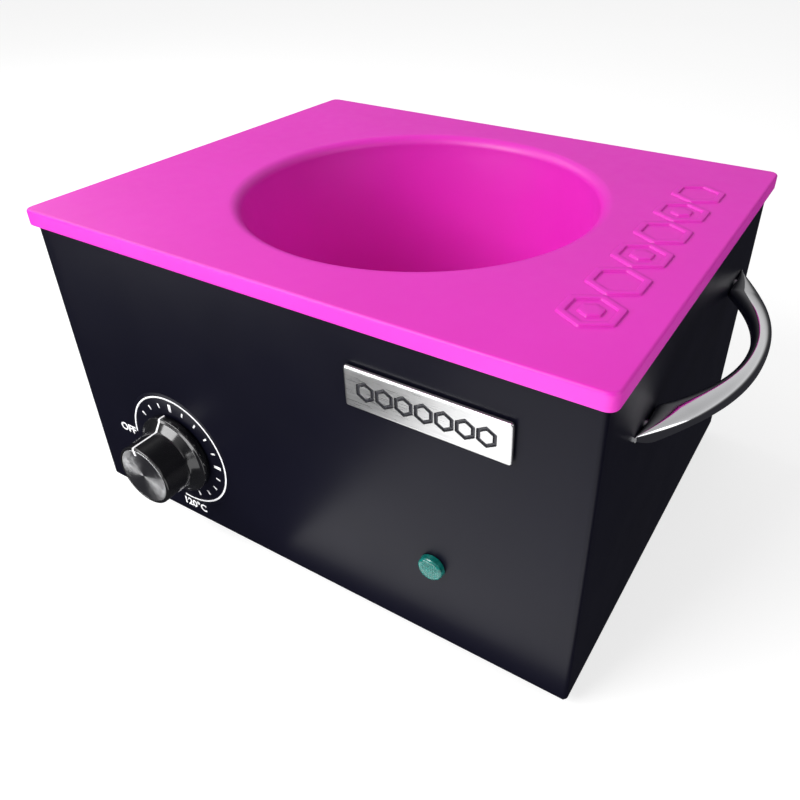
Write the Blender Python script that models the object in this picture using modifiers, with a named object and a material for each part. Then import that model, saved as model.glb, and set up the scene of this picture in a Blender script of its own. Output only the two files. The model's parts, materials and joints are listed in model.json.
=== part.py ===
"""Electric wax warmer: a steel box with a heated aluminium well and a lift-out silicone liner.

Units are metres, +Z is up, X runs left to right and Y front to back.  The origin is the
middle of the whole object's bounding box, on the surface that the feet stand on.
"""

import math

import bmesh
import bpy
from mathutils import Matrix, Vector

# ---- driving dimensions -------------------------------------------------------------------

BODY_WIDTH = 0.260
BODY_DEPTH = 0.209
CASE_BOTTOM = 0.0060
RIM_TOP = 0.1540
RIM_HEIGHT = 0.0070
RIM_OVERHANG = 0.0028

STEEL = 0.0012
SILICONE = 0.0030
GAP = 0.0003
TURN_STEPS = 40
SMALL_STEPS = 16
SCREW_STEPS = 8

BOWL_RADIUS = 0.0785
BOWL_LIP = 0.0060
BOWL_FLOOR_RADIUS = 0.0720
BOWL_FLOOR = 0.0440
BOWL_FILLET = 0.0250
WELL_CLEARANCE = 0.0005
WELL_WALL = 0.0015
WELL_FLANGE_RADIUS = 0.0940
WELL_FLANGE = 0.0010

DIAL_X = -0.0700
DIAL_Z = 0.0467
DIAL_RADIUS = 0.0312
DIAL_FOIL = 0.0004
KNOB_REACH = 0.0214
SKIRT_RADIUS = 0.0200
SKIRT_BACK = 0.0030
KNOB_RADIUS = 0.0151
CONE_RADIUS = 0.0160
CONE_TOP = 0.0072
CAP_RADIUS = 0.01365
CAP_THICKNESS = 0.0005
POINTER_ANGLE = math.radians(100)
POINTER_WIDTH = 0.0012
POINTER_DEPTH = 0.0005
POINTER_END = 0.0200
SHAFT_RADIUS = 0.0030
BUSH_RADIUS = 0.0046
LAMP_X = 0.0700
LAMP_Z = 0.0487
LAMP_RADIUS = 0.0060
LAMP_REACH = 0.0040
LAMP_NECK = 0.0046

BADGE_X = 0.0683
BADGE_Z = 0.1228
BADGE_WIDTH = 0.0664
BADGE_HEIGHT = 0.0170
BADGE_THICKNESS = 0.0013
BADGE_PAD = 0.0005

HANDLE_Y = 0.0050
HANDLE_LOW = 0.1075
HANDLE_SIDE = 0.0035
HANDLE_HEIGHT = 0.0080
HANDLE_HALF_SPAN = 0.0755
HANDLE_INNER_HALF_SPAN = 0.0520
HANDLE_REACH = 0.0270
HANDLE_THICKNESS = 0.0070
HANDLE_SCREW_Z = 0.1112
HANDLE_SCREW_SPACING = 0.1280
HANDLE_SCREW = 0.0020

BASE_PLATE_BOTTOM = 0.0045
FOOT_RADIUS = 0.0090
FOOT_INSET = 0.0280
FOOT_STEM = 0.0030
RETURN_FLANGE = 0.0160
BASE_SCREW_SETBACK = 0.0600
SCREW_RADIUS = 0.0016
SCREW_HOLE = 0.0020
VENT_COUNT = 6
VENT_PITCH = 0.0120
VENT_SIZE = (0.0040, 0.0400)
DECK_HEIGHT = 0.0120
DECK_SHEET = 0.0010
DECK_HOLE = 0.0850

THERMOSTAT_SIZE = (0.0360, 0.0180, 0.0360)
THERMOSTAT_PITCH = 0.0280
BULB_RADIUS = 0.0025
BULB_LENGTH = 0.0600
BULB_Z = 0.0715
CUTOUT_RADIUS = 0.0080
CUTOUT_HEIGHT = 0.0110
HEATER_LOW = 0.0800
HEATER_HIGH = 0.1250
HEATER_TERMINALS = (math.radians(152), math.radians(143))
EAR_REACH = 0.0120
EAR_THICKNESS = 0.0020
EAR_HEIGHT = 0.0200
EAR_GAP = 0.0060

INLET_X = 0.0750
INLET_Z = 0.0360
INLET_SCREW_SPACING = 0.0400
INLET_FLANGE = 0.0020
INLET_FLANGE_SIZE = (0.0480, 0.0220)
INLET_SHELL = (0.0270, 0.0200)
INLET_SCREW_HEAD = 0.0016
INLET_DEPTH = 0.0240
PIN_SIZE = (0.0040, 0.0300, 0.0020)
INLET_CAVITY = (0.0240, 0.0170, 0.0160)
INLET_PINS = {"live": (-0.0070, -0.0020), "neutral": (0.0070, -0.0020), "earth": (0, 0.0020)}
TERMINAL_BLOCK = (0.0200, 0.0780)
TERMINAL_SIZE = (0.0300, 0.0180, 0.0150)
EARTH_POINT = (0.0520, 0.0700)
BULB_X = 0.0820
LEAD_RADIUS = 0.0009

# ---- derived places -----------------------------------------------------------------------

FRONT = -BODY_DEPTH / 2
BACK = BODY_DEPTH / 2
SIDE = BODY_WIDTH / 2
INLET_SCREW_SEAT = BACK + 2 * GAP + INLET_FLANGE
BODY_Y = (KNOB_REACH - (INLET_SCREW_SEAT + INLET_SCREW_HEAD - BACK)) / 2
RIM_BOTTOM = RIM_TOP - RIM_HEIGHT
SHEET_BOTTOM = RIM_TOP - SILICONE
CASE_TOP = SHEET_BOTTOM - GAP
DECK_TOP = CASE_TOP - WELL_FLANGE - GAP
PLATE_TOP = BASE_PLATE_BOTTOM + STEEL
LIP_BOTTOM = RIM_TOP - BOWL_LIP
FILLET_Z = BOWL_FLOOR + BOWL_FILLET
WELL_INSIDE = SILICONE + WELL_CLEARANCE
WELL_OUTSIDE = WELL_INSIDE + WELL_WALL
HEATER_INSIDE = WELL_OUTSIDE + GAP
HEATER_OUTSIDE = HEATER_INSIDE + 0.0020
LAGGING_INSIDE = HEATER_OUTSIDE + GAP
LAGGING_OUTSIDE = LAGGING_INSIDE + 0.0065
THERMOSTAT_FRONT = FRONT + STEEL + GAP
THERMOSTAT_BACK = THERMOSTAT_FRONT + THERMOSTAT_SIZE[1]
CUTOUT_TOP = BOWL_FLOOR - WELL_OUTSIDE - GAP
CUTOUT_BOTTOM = CUTOUT_TOP - CUTOUT_HEIGHT
PIN_BACK = BACK + GAP - 0.0310

# local +Z turned to face the front, the back, the right, the left, or straight down
TO_FRONT = (math.pi / 2, 0, 0)
TO_BACK = (-math.pi / 2, 0, 0)
TO_RIGHT = (0, math.pi / 2, 0)
TO_LEFT = (0, -math.pi / 2, 0)
DOWN = (math.pi, 0, 0)

# look: colour, roughness, metallic
LOOKS = {
    "black_steel": ((0.030, 0.030, 0.038), 0.38, 0.0),
    "zinc_steel": ((0.55, 0.56, 0.58), 0.45, 1.0),
    "aluminium": ((0.78, 0.78, 0.80), 0.32, 1.0),
    "pink_silicone": ((0.72, 0.06, 0.46), 0.45, 0.0),
    "chrome": ((0.80, 0.80, 0.82), 0.08, 1.0),
    "black_plastic": ((0.015, 0.015, 0.018), 0.22, 0.0),
    "white_print": ((0.85, 0.85, 0.85), 0.50, 0.0),
    "green_lens": ((0.05, 0.50, 0.42), 0.12, 0.0),
    "badge_metal": ((0.70, 0.70, 0.71), 0.28, 1.0),
    "rubber": ((0.025, 0.025, 0.025), 0.80, 0.0),
    "mica": ((0.45, 0.36, 0.24), 0.60, 0.0),
    "lagging": ((0.82, 0.80, 0.74), 0.95, 0.0),
    "copper": ((0.72, 0.36, 0.22), 0.35, 1.0),
    "brass": ((0.70, 0.52, 0.25), 0.35, 1.0),
    "ceramic": ((0.82, 0.80, 0.75), 0.55, 0.0),
    "lead_brown": ((0.20, 0.08, 0.04), 0.50, 0.0),
    "lead_blue": ((0.03, 0.12, 0.50), 0.50, 0.0),
    "lead_green": ((0.12, 0.42, 0.10), 0.50, 0.0),
}


# ---- modelling helpers --------------------------------------------------------------------

def clear_scene():
    for obj in list(bpy.data.objects):
        bpy.data.objects.remove(obj, do_unlink=True)


def new_collection(name):
    collection = bpy.data.collections.new(name)
    bpy.context.scene.collection.children.link(collection)
    return collection


def new_empty(name, location, parent=None):
    empty = bpy.data.objects.new(name, None)
    PARTS.objects.link(empty)
    empty.location = location
    empty.parent = parent
    empty.empty_display_size = 0.02
    return empty


def make_material(name, look):
    colour, roughness, metallic = LOOKS[look]
    material = bpy.data.materials.new(f"{name}_{look}")
    material.use_nodes = True
    shader = material.node_tree.nodes["Principled BSDF"]
    shader.inputs["Base Color"].default_value = (*colour, 1.0)
    shader.inputs["Roughness"].default_value = roughness
    shader.inputs["Metallic"].default_value = metallic
    material.diffuse_color = (*colour, 1.0)
    return material


def add_part(name, data, look, parent, location=(0, 0, 0), rotation=(0, 0, 0)):
    obj = bpy.data.objects.new(name, data)
    PARTS.objects.link(obj)
    obj.parent = parent
    obj.location = location
    obj.rotation_euler = rotation
    data.materials.append(make_material(name, look))
    return obj


def mesh_from(name, bm):
    mesh = bpy.data.meshes.new(name)
    bm.to_mesh(mesh)
    bm.free()
    return mesh


def box(name, size, look, parent, location, bevel=0.0):
    """A box centred on its location, with rounded edges if a bevel is given."""
    bm = bmesh.new()
    bmesh.ops.create_cube(bm, size=1.0, matrix=Matrix.Diagonal((*size, 1.0)))
    obj = add_part(name, mesh_from(name, bm), look, parent, location)
    if bevel:
        add_bevel(obj, bevel)
    return obj


def add_bevel(obj, width, segments=2):
    bevel = obj.modifiers.new("rounded_edges", "BEVEL")
    bevel.width = width
    bevel.segments = segments
    bevel.limit_method = "ANGLE"
    bevel.angle_limit = math.radians(40)


def rod(name, radius, start, end, look, parent, location=(0, 0, 0), rotation=(0, 0, 0),
        sides=SMALL_STEPS):
    """A cylinder along its local Z, from start to end."""
    bm = bmesh.new()
    middle = Matrix.Translation((0, 0, (start + end) / 2))
    bmesh.ops.create_cone(bm, cap_ends=True, segments=sides, radius1=radius, radius2=radius,
                          depth=end - start, matrix=middle)
    mesh = mesh_from(name, bm)
    mesh.shade_smooth()
    mesh.set_sharp_from_angle(angle=math.radians(40))
    return add_part(name, mesh, look, parent, location, rotation)


def turned(name, profile, look, parent, location=(0, 0, 0), rotation=(0, 0, 0),
           closed=False, steps=SMALL_STEPS):
    """A (radius, height) profile turned about local Z; it runs down its outer side."""
    mesh = bpy.data.meshes.new(name)
    count = len(profile)
    edges = [(i, i + 1) for i in range(count - 1)]
    if closed:
        edges.append((count - 1, 0))
    mesh.from_pydata([(radius, 0, height) for radius, height in profile], edges, [])
    obj = add_part(name, mesh, look, parent, location, rotation)
    screw = obj.modifiers.new("turned", "SCREW")
    screw.axis = "Z"
    screw.angle = math.tau
    screw.steps = steps
    screw.render_steps = steps
    screw.use_merge_vertices = True
    screw.merge_threshold = 0.00001
    screw.use_smooth_shade = False
    return obj


def prism(name, outlines, thickness, look, parent, location=(0, 0, 0), rotation=(0, 0, 0)):
    """Flat outlines in local XY, made solid by thickness about Z and turned into a mesh."""
    curve = bpy.data.curves.new(name, "CURVE")
    curve.dimensions = "2D"
    curve.fill_mode = "BOTH"
    curve.extrude = thickness / 2
    for outline in outlines:
        spline = curve.splines.new("POLY")
        spline.points.add(len(outline) - 1)
        for point, (x, y) in zip(spline.points, outline):
            point.co = (x, y, 0, 1)
        spline.use_cyclic_u = True
    guide = bpy.data.objects.new(name + "_outline", curve)
    PARTS.objects.link(guide)
    depsgraph = bpy.context.evaluated_depsgraph_get()
    mesh = bpy.data.meshes.new_from_object(guide.evaluated_get(depsgraph))
    bpy.data.objects.remove(guide)
    bm = bmesh.new()
    bm.from_mesh(mesh)
    bmesh.ops.remove_doubles(bm, verts=bm.verts, dist=0.00001)
    bmesh.ops.recalc_face_normals(bm, faces=bm.faces)
    bm.to_mesh(mesh)
    bm.free()
    mesh.name = name
    return add_part(name, mesh, look, parent, location, rotation)


def combine(part, tool, operation):
    PARTS.objects.unlink(tool)
    CUTTERS.objects.link(tool)
    tool.hide_render = True
    tool.display_type = "WIRE"
    boolean = part.modifiers.new(tool.name, "BOOLEAN")
    boolean.operation = operation
    boolean.solver = "EXACT"
    boolean.object = tool


def cut(part, *tools):
    for tool in tools:
        combine(part, tool, "DIFFERENCE")


def join(part, *tools):
    for tool in tools:
        combine(part, tool, "UNION")


def arc(centre, radius, start, end, steps):
    """Points on an arc, with both ends, as (across, up) pairs; angles in degrees."""
    points = []
    for i in range(steps + 1):
        angle = math.radians(start + (end - start) * i / steps)
        points.append((centre[0] + radius * math.cos(angle), centre[1] + radius * math.sin(angle)))
    return points


def rounded_rectangle(width, height, radius, steps=4):
    across = width / 2 - radius
    up = height / 2 - radius
    points = []
    for corner, (x, y) in enumerate([(across, up), (-across, up), (-across, -up), (across, -up)]):
        points += arc((x, y), radius, 90 * corner, 90 * corner + 90, steps)
    return points


def circle(radius, steps=TURN_STEPS, centre=(0, 0)):
    return arc(centre, radius, 0, 360 - 360 / steps, steps - 1)


def smooth_route(points, spacing):
    """Catmull-Rom points through the given ones, about one spacing apart."""
    ends = [points[0] * 2 - points[1], *points, points[-1] * 2 - points[-2]]
    route = [points[0]]
    for before, start, end, after in zip(ends, ends[1:], ends[2:], ends[3:]):
        steps = max(1, round((end - start).length / spacing))
        for i in range(1, steps + 1):
            t = i / steps
            pull = start * 2 + (end - before) * t
            pull += (before * 2 - start * 5 + end * 4 - after) * t ** 2
            pull += (start * 3 - before - end * 3 + after) * t ** 3
            route.append(pull / 2)
    return route


def lead(name, route, radius, look, parent, spacing=0.011):
    """A wire or small tube along a smooth curve through hand-picked points."""
    curve = bpy.data.curves.new(name, "CURVE")
    curve.dimensions = "3D"
    curve.bevel_depth = radius
    curve.bevel_resolution = 2
    curve.use_fill_caps = True
    points = smooth_route([Vector(point) for point in route], spacing)
    spline = curve.splines.new("POLY")
    spline.points.add(len(points) - 1)
    for point, place in zip(spline.points, points):
        point.co = (*place, 1)
    return add_part(name, curve, look, parent)


def screw(name, head, shank, look, parent, location, rotation):
    """A pan-head screw: the head's underside is on local Z = 0 and the shank points down.

    head and shank are (radius, length) pairs.
    """
    head_radius, head_height = head
    shank_radius, length = shank
    profile = [
        (0, head_height),
        (head_radius * 0.70, head_height),
        (head_radius, head_height * 0.45),
        (head_radius, 0),
        (shank_radius, 0),
        (shank_radius, -length),
        (0, -length),
    ]
    return turned(name, profile, look, parent, location, rotation, steps=SCREW_STEPS)


def corners(half_width, half_depth):
    return [("front_left", -half_width, -half_depth), ("front_right", half_width, -half_depth),
            ("back_left", -half_width, half_depth), ("back_right", half_width, half_depth)]


# ---- the bowl's shape, shared by the liner, the well, the heater and the lagging ----------

def wall_radius(height, offset):
    """Radius of the tapered wall at a height, offset outward from the liner's inside."""
    share = (height - FILLET_Z) / (LIP_BOTTOM - FILLET_Z)
    return BOWL_FLOOR_RADIUS + (BOWL_RADIUS - BOWL_FLOOR_RADIUS) * share + offset


def bowl_curve(top, offset):
    """Profile from the wall at the given height, round the fillet, to the axis."""
    centre = (BOWL_FLOOR_RADIUS - BOWL_FILLET, FILLET_Z)
    return [(wall_radius(top, offset), top), *arc(centre, BOWL_FILLET + offset, 0, -90, 5),
            (0, BOWL_FLOOR - offset)]


def wall_ring(name, low, high, inside, outside, look, parent):
    profile = [
        (wall_radius(high, outside), high),
        (wall_radius(low, outside), low),
        (wall_radius(low, inside), low),
        (wall_radius(high, inside), high),
    ]
    return turned(name, profile, look, parent, closed=True, steps=TURN_STEPS)


# ---- casing, deck, base and feet ----------------------------------------------------------

def open_box(name, size, low, thickness, open_top, look, parent):
    """A folded sheet box with round upright edges, open at its top or its bottom."""
    height = size[2]
    bm = bmesh.new()
    place = Matrix.Translation((0, 0, low + height / 2)) @ Matrix.Diagonal((*size, 1.0))
    bmesh.ops.create_cube(bm, size=1.0, matrix=place)
    upright = [edge for edge in bm.edges
               if abs(edge.verts[0].co.z - edge.verts[1].co.z) > height / 2]
    bmesh.ops.bevel(bm, geom=upright, offset=0.0018, segments=3, affect="EDGES", profile=0.5)
    up = 1 if open_top else -1
    lid = max(bm.faces, key=lambda face: face.calc_center_median().z * up)
    bmesh.ops.delete(bm, geom=[lid], context="FACES_ONLY")
    obj = add_part(name, mesh_from(name, bm), look, parent)
    solidify = obj.modifiers.new("sheet", "SOLIDIFY")
    solidify.thickness = thickness
    solidify.offset = -1
    solidify.use_even_offset = True
    return obj


def drill(part, name, radius, look, body, place, rotation=(0, 0, 0), sides=12):
    """Cut a through hole across a sheet at the given place."""
    cut(part, rod(name, radius, -0.01, 0.01, look, body, place, rotation, sides))


def make_casing(body):
    size = (BODY_WIDTH, BODY_DEPTH, CASE_TOP - CASE_BOTTOM)
    look = "black_steel"
    casing = open_box("outer_casing", size, CASE_BOTTOM, STEEL, True, look, body)
    window = BUSH_RADIUS + 0.0004
    opening = (BODY_WIDTH - 2 * RETURN_FLANGE, BODY_DEPTH - 2 * RETURN_FLANGE, 0.01)
    cut(casing, box("floor_opening", opening, look, body, (0, 0, CASE_BOTTOM)))
    drill(casing, "bush_hole", window, look, body, (DIAL_X, FRONT, DIAL_Z), TO_FRONT, SMALL_STEPS)
    drill(casing, "lamp_hole", window, look, body, (LAMP_X, FRONT, LAMP_Z), TO_FRONT, SMALL_STEPS)
    for side in (-1, 1):
        place = (DIAL_X + side * THERMOSTAT_PITCH / 2, FRONT, DIAL_Z)
        drill(casing, "control_screw_hole", SCREW_HOLE, look, body, place, TO_FRONT)
        place = (INLET_X + side * INLET_SCREW_SPACING / 2, BACK, INLET_Z)
        drill(casing, "inlet_screw_hole", SCREW_HOLE, look, body, place, TO_BACK)
        for end in (-1, 1):
            y = HANDLE_Y + end * HANDLE_SCREW_SPACING / 2
            place = (side * SIDE, y, HANDLE_SCREW_Z)
            drill(casing, "handle_hole", HANDLE_SCREW + 0.0004, look, body, place, TO_RIGHT)
    place = (INLET_X, BACK, INLET_Z)
    hole = (INLET_SHELL[0] + 2 * GAP, 0.02, INLET_SHELL[1] + 2 * GAP)
    cut(casing, box("inlet_hole", hole, look, body, place))
    for _, x, y in BASE_SCREWS:
        drill(casing, "base_screw_hole", SCREW_HOLE, look, body, (x, y, CASE_BOTTOM))


def make_deck(body):
    inside = 2 * (STEEL + GAP)
    size = (BODY_WIDTH - inside, BODY_DEPTH - inside, DECK_HEIGHT)
    low = DECK_TOP - DECK_HEIGHT
    deck = open_box("top_deck", size, low, DECK_SHEET, False, "zinc_steel", body)
    drill(deck, "well_hole", DECK_HOLE, "zinc_steel", body, (0, 0, DECK_TOP), sides=TURN_STEPS)


def make_base(body):
    inset = 0.0015
    size = (BODY_WIDTH - 2 * inset, BODY_DEPTH - 2 * inset, STEEL)
    look = "zinc_steel"
    plate = box("base_plate", size, look, body, (0, 0, BASE_PLATE_BOTTOM + STEEL / 2))
    for _, x, y in BASE_SCREWS:
        drill(plate, "plate_screw_hole", SCREW_HOLE, look, body, (x, y, PLATE_TOP))
    for _, x, y in FEET:
        drill(plate, "foot_hole", FOOT_STEM + GAP, look, body, (x, y, PLATE_TOP))
    for i in range(VENT_COUNT):
        x = (i - (VENT_COUNT - 1) / 2) * VENT_PITCH
        cut(plate, box("vent_slot", (*VENT_SIZE, 0.02), look, body, (x, 0, PLATE_TOP)))


def make_feet(body):
    """Rubber feet with a barbed stem pushed through the base plate."""
    barb = 0.0042
    head = PLATE_TOP + GAP
    tread = BASE_PLATE_BOTTOM - GAP
    profile = [
        (0, head + 0.0030),
        (FOOT_STEM, head + 0.0030),
        (barb, head + 0.0005),
        (barb, head),
        (FOOT_STEM, head),
        (FOOT_STEM, tread),
        (FOOT_RADIUS, tread),
        (FOOT_RADIUS - 0.0006, 0.0005),
        (FOOT_RADIUS - 0.0012, 0),
        (0, 0),
    ]
    for name, x, y in FEET:
        turned(f"foot_{name}", profile, "rubber", body, (x, y, 0))


def make_base_screws(body):
    under = BASE_PLATE_BOTTOM - GAP
    for name, x, y in BASE_SCREWS:
        screw(f"base_screw_{name}", (0.0032, 0.0018), (SCREW_RADIUS, 0.0070), "zinc_steel",
              body, (x, y, under), DOWN)


# ---- well, liner and heating --------------------------------------------------------------

def make_well(body):
    top = CASE_TOP
    inside = bowl_curve(top, WELL_INSIDE)
    outside = bowl_curve(top - WELL_FLANGE, WELL_OUTSIDE)
    flange = [(WELL_FLANGE_RADIUS, top), (WELL_FLANGE_RADIUS, top - WELL_FLANGE)]
    profile = [*reversed(inside), *flange, *outside]
    turned("heating_well", profile, "aluminium", body, steps=TURN_STEPS)


def make_liner(liner):
    """One silicone moulding: a flat rim with a skirt, and a bowl with a soft rolled lip."""
    look = "pink_silicone"
    width = BODY_WIDTH + 2 * RIM_OVERHANG
    depth = BODY_DEPTH + 2 * RIM_OVERHANG
    size = (width, depth, RIM_HEIGHT)
    rim = box("silicone_liner", size, look, liner, (0, 0, RIM_TOP - RIM_HEIGHT / 2), bevel=0.0012)
    pocket_low = RIM_BOTTOM - 0.005
    pocket = (BODY_WIDTH + 2 * GAP, BODY_DEPTH + 2 * GAP, SHEET_BOTTOM - pocket_low)
    cut(rim, box("rim_pocket", pocket, look, liner, (0, 0, (SHEET_BOTTOM + pocket_low) / 2)))
    outer_top = RIM_TOP - SILICONE / 2
    outer = [(0, outer_top), *bowl_curve(outer_top, SILICONE)]
    join(rim, turned("bowl_outside", outer, look, liner, steps=TURN_STEPS))
    lip = arc((BOWL_RADIUS + BOWL_LIP, LIP_BOTTOM), BOWL_LIP, 90, 180, 5)
    above = RIM_TOP + 0.01
    inner = [(0, above), (BOWL_RADIUS + BOWL_LIP, above), *lip, *bowl_curve(LIP_BOTTOM, 0)[1:]]
    cut(rim, turned("bowl_inside", inner, look, liner, steps=TURN_STEPS))


def make_heater(body):
    """A split mica band round the well, pulled tight by a screw through its two ears."""
    band = wall_ring("band_heater", HEATER_LOW, HEATER_HIGH, HEATER_INSIDE, HEATER_OUTSIDE,
                     "mica", body)
    middle = (HEATER_LOW + HEATER_HIGH) / 2
    root = wall_radius(middle + EAR_HEIGHT / 2, HEATER_INSIDE + GAP)
    reach = wall_radius(middle, HEATER_OUTSIDE) + EAR_REACH
    for side in (-1, 1):
        size = (reach - root, EAR_THICKNESS, EAR_HEIGHT)
        place = (-(reach + root) / 2, side * (EAR_GAP + EAR_THICKNESS) / 2, middle)
        join(band, box("ear", size, "mica", body, place))
    split = (0.0300, EAR_GAP, 0.1)
    cut(band, box("split", split, "mica", body, (-reach + 0.0100, 0, middle)))
    hole_x = -(reach - 0.0050)
    cut(band, rod("ear_hole", 0.0019, -0.02, 0.02, "mica", body, (hole_x, 0, middle), TO_BACK,
                  sides=12))
    stack = EAR_GAP / 2 + EAR_THICKNESS + GAP
    screw("clamp_screw", (0.0030, 0.0020), (0.0015, 2 * stack + 0.0040), "zinc_steel", body,
          (hole_x, -stack, middle), TO_FRONT)
    nut = rod("clamp_nut", 0.0032, 0, 0.0022, "zinc_steel", body, (hole_x, stack, middle), TO_BACK,
              sides=6)
    cut(nut, rod("nut_hole", 0.0018, -0.01, 0.02, "zinc_steel", body, (hole_x, stack, middle),
                 TO_BACK, sides=12))


def make_lagging(body):
    """Glass-fibre lagging round the heater, open where the ears stand out."""
    lagging = wall_ring("insulation_blanket", HEATER_LOW - 0.0020, HEATER_HIGH + 0.0030,
                        LAGGING_INSIDE, LAGGING_OUTSIDE, "lagging", body)
    cut(lagging, box("ear_window", (0.04, 0.0300, 0.1), "lagging", body,
                     (-wall_radius(HEATER_LOW, LAGGING_OUTSIDE), 0, 0.1)))


# ---- controls -----------------------------------------------------------------------------

def make_thermostat(body):
    look = "zinc_steel"
    centre = (DIAL_X, THERMOSTAT_FRONT + THERMOSTAT_SIZE[1] / 2, DIAL_Z)
    case = box("thermostat_body", THERMOSTAT_SIZE, look, body, centre)
    face = (DIAL_X, THERMOSTAT_FRONT, DIAL_Z)
    join(case, rod("bush", BUSH_RADIUS, -0.0050, STEEL + GAP, look, body, face, TO_FRONT))
    cut(case, rod("bush_bore", SHAFT_RADIUS + GAP, -0.0120, 0.01, look, body, face, TO_FRONT))
    for side, name in ((-1, "left"), (1, "right")):
        x = DIAL_X + side * THERMOSTAT_PITCH / 2
        cut(case, rod("tapped_hole", 0.0019, -0.0080, 0.01, look, body,
                      (x, THERMOSTAT_FRONT, DIAL_Z), TO_FRONT, sides=12))
        under_head = FRONT - 2 * GAP - DIAL_FOIL - GAP
        screw(f"control_screw_{name}", (0.0030, 0.0013), (SCREW_RADIUS, 0.0080), look, body,
              (x, under_head, DIAL_Z), TO_FRONT)


def make_dial(body):
    """The printed scale foil on the front panel, under the knob."""
    outlines = [circle(DIAL_RADIUS), circle(0.0052, SMALL_STEPS)]
    for side in (-1, 1):
        outlines.append(circle(0.0022, 12, (side * THERMOSTAT_PITCH / 2, 0)))
    prism("dial_scale", outlines, DIAL_FOIL, "white_print", body,
          (DIAL_X, FRONT - GAP - DIAL_FOIL / 2, DIAL_Z), TO_FRONT)


def make_knob(knob):
    """Knob, cap, pointer and shaft, in the frame of the shaft's axis at the front panel."""
    cap_seat = KNOB_REACH - CAP_THICKNESS - GAP
    bore = SHAFT_RADIUS + GAP
    profile = [
        (0, cap_seat),
        (CAP_RADIUS + GAP, cap_seat),
        (CAP_RADIUS + GAP, KNOB_REACH),
        (KNOB_RADIUS - 0.0008, KNOB_REACH),
        (KNOB_RADIUS, KNOB_REACH - 0.0010),
        (KNOB_RADIUS, CONE_TOP + 0.0004),
        (CONE_RADIUS, CONE_TOP),
        (SKIRT_RADIUS, SKIRT_BACK + 0.0016),
        (SKIRT_RADIUS, SKIRT_BACK),
        (bore, SKIRT_BACK),
        (bore, 0.0150),
        (0, 0.0150),
    ]
    body = turned("knob_body", profile, "black_plastic", knob, steps=28)
    rod("knob_cap", CAP_RADIUS, KNOB_REACH - CAP_THICKNESS, KNOB_REACH, "aluminium", knob, sides=28)
    rod("thermostat_shaft", SHAFT_RADIUS, -0.0120, 0.0145, "zinc_steel", knob)
    tip = SKIRT_RADIUS - GAP
    tip_height = SKIRT_BACK + 0.0018
    bed = KNOB_RADIUS - POINTER_DEPTH
    strip = [
        (KNOB_RADIUS, POINTER_END),
        (KNOB_RADIUS, CONE_TOP + 0.0005),
        (CONE_RADIUS, CONE_TOP),
        (tip, tip_height),
        (tip, tip_height - POINTER_DEPTH),
        (CONE_RADIUS - GAP, CONE_TOP - 0.0004),
        (bed, CONE_TOP + 0.0002),
        (bed, POINTER_END),
    ]
    floor = bed - GAP
    clear = CONE_RADIUS + 0.0004
    outside = SKIRT_RADIUS + 0.0005
    groove = [
        (clear, POINTER_END + GAP),
        (clear, CONE_TOP + 0.0015),
        (outside, CONE_TOP - 0.0012),
        (outside, SKIRT_BACK + GAP),
        (CONE_RADIUS - 0.0004, CONE_TOP - 0.0008),
        (floor, CONE_TOP - 0.0001),
        (floor, POINTER_END + GAP),
    ]
    turn = Matrix.Rotation(POINTER_ANGLE, 4, "Z") @ Matrix.Rotation(math.pi / 2, 4, "X")
    angles = turn.to_euler()
    cut(body, prism("pointer_groove", [groove], POINTER_WIDTH + 2 * GAP, "white_print", knob,
                    rotation=angles))
    prism("knob_pointer", [strip], POINTER_WIDTH, "white_print", knob, rotation=angles)


def make_lamp(body):
    place = (LAMP_X, FRONT, LAMP_Z)
    profile = [
        (0, LAMP_REACH),
        (0.0022, LAMP_REACH - 0.0002),
        (0.0042, LAMP_REACH - 0.0010),
        (0.0055, LAMP_REACH - 0.0022),
        (LAMP_RADIUS, GAP + 0.0006),
        (LAMP_RADIUS, GAP),
        (LAMP_NECK, GAP),
        (LAMP_NECK, -0.0060),
        (0, -0.0060),
    ]
    turned("lamp_lens", profile, "green_lens", body, place, TO_FRONT)
    rod("lamp_body", LAMP_NECK, -0.0240, -0.0063, "ceramic", body, place, TO_FRONT)
    inside = LAMP_NECK + GAP
    ring = [(0.0080, -0.0015), (0.0080, -0.0025), (inside, -0.0025), (inside, -0.0015)]
    turned("lamp_retainer", ring, "zinc_steel", body, place, TO_FRONT, closed=True)


def make_badge(body):
    pad_y = FRONT - GAP - BADGE_PAD / 2
    badge_y = FRONT - 2 * GAP - BADGE_PAD - BADGE_THICKNESS / 2
    outline = rounded_rectangle(BADGE_WIDTH, BADGE_HEIGHT, 0.0010)
    prism("name_badge", [outline], BADGE_THICKNESS, "badge_metal", body,
          (BADGE_X, badge_y, BADGE_Z), TO_FRONT)
    box("badge_pad", (BADGE_WIDTH - 0.0020, BADGE_PAD, BADGE_HEIGHT - 0.0020), "rubber", body,
        (BADGE_X, pad_y, BADGE_Z))


# ---- handles ------------------------------------------------------------------------------

def bow(along, half_span, reach):
    """How far a handle's curve stands off the panel at a distance along it."""
    return reach * max(0.0, 1 - abs(along / half_span) ** 2.1)


def handle_section(along):
    """The strap's section at one distance along it, as (out, up) pairs from its underside.

    Its inner face is upright, and its top falls from there to a low outer face.
    """
    outer = max(bow(along, HANDLE_HALF_SPAN, HANDLE_REACH), 0.0006)
    inner = bow(along, HANDLE_INNER_HALF_SPAN, HANDLE_REACH - HANDLE_THICKNESS)
    edge = min(0.0010, 0.3 * (outer - inner))
    return [
        (inner, 0),
        (outer - edge, 0),
        (outer, edge),
        (outer, HANDLE_SIDE),
        ((inner + 2 * outer) / 3, HANDLE_HEIGHT - 0.0025),
        (inner + edge, HANDLE_HEIGHT),
        (inner, HANDLE_HEIGHT - edge / 2),
    ]


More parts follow.
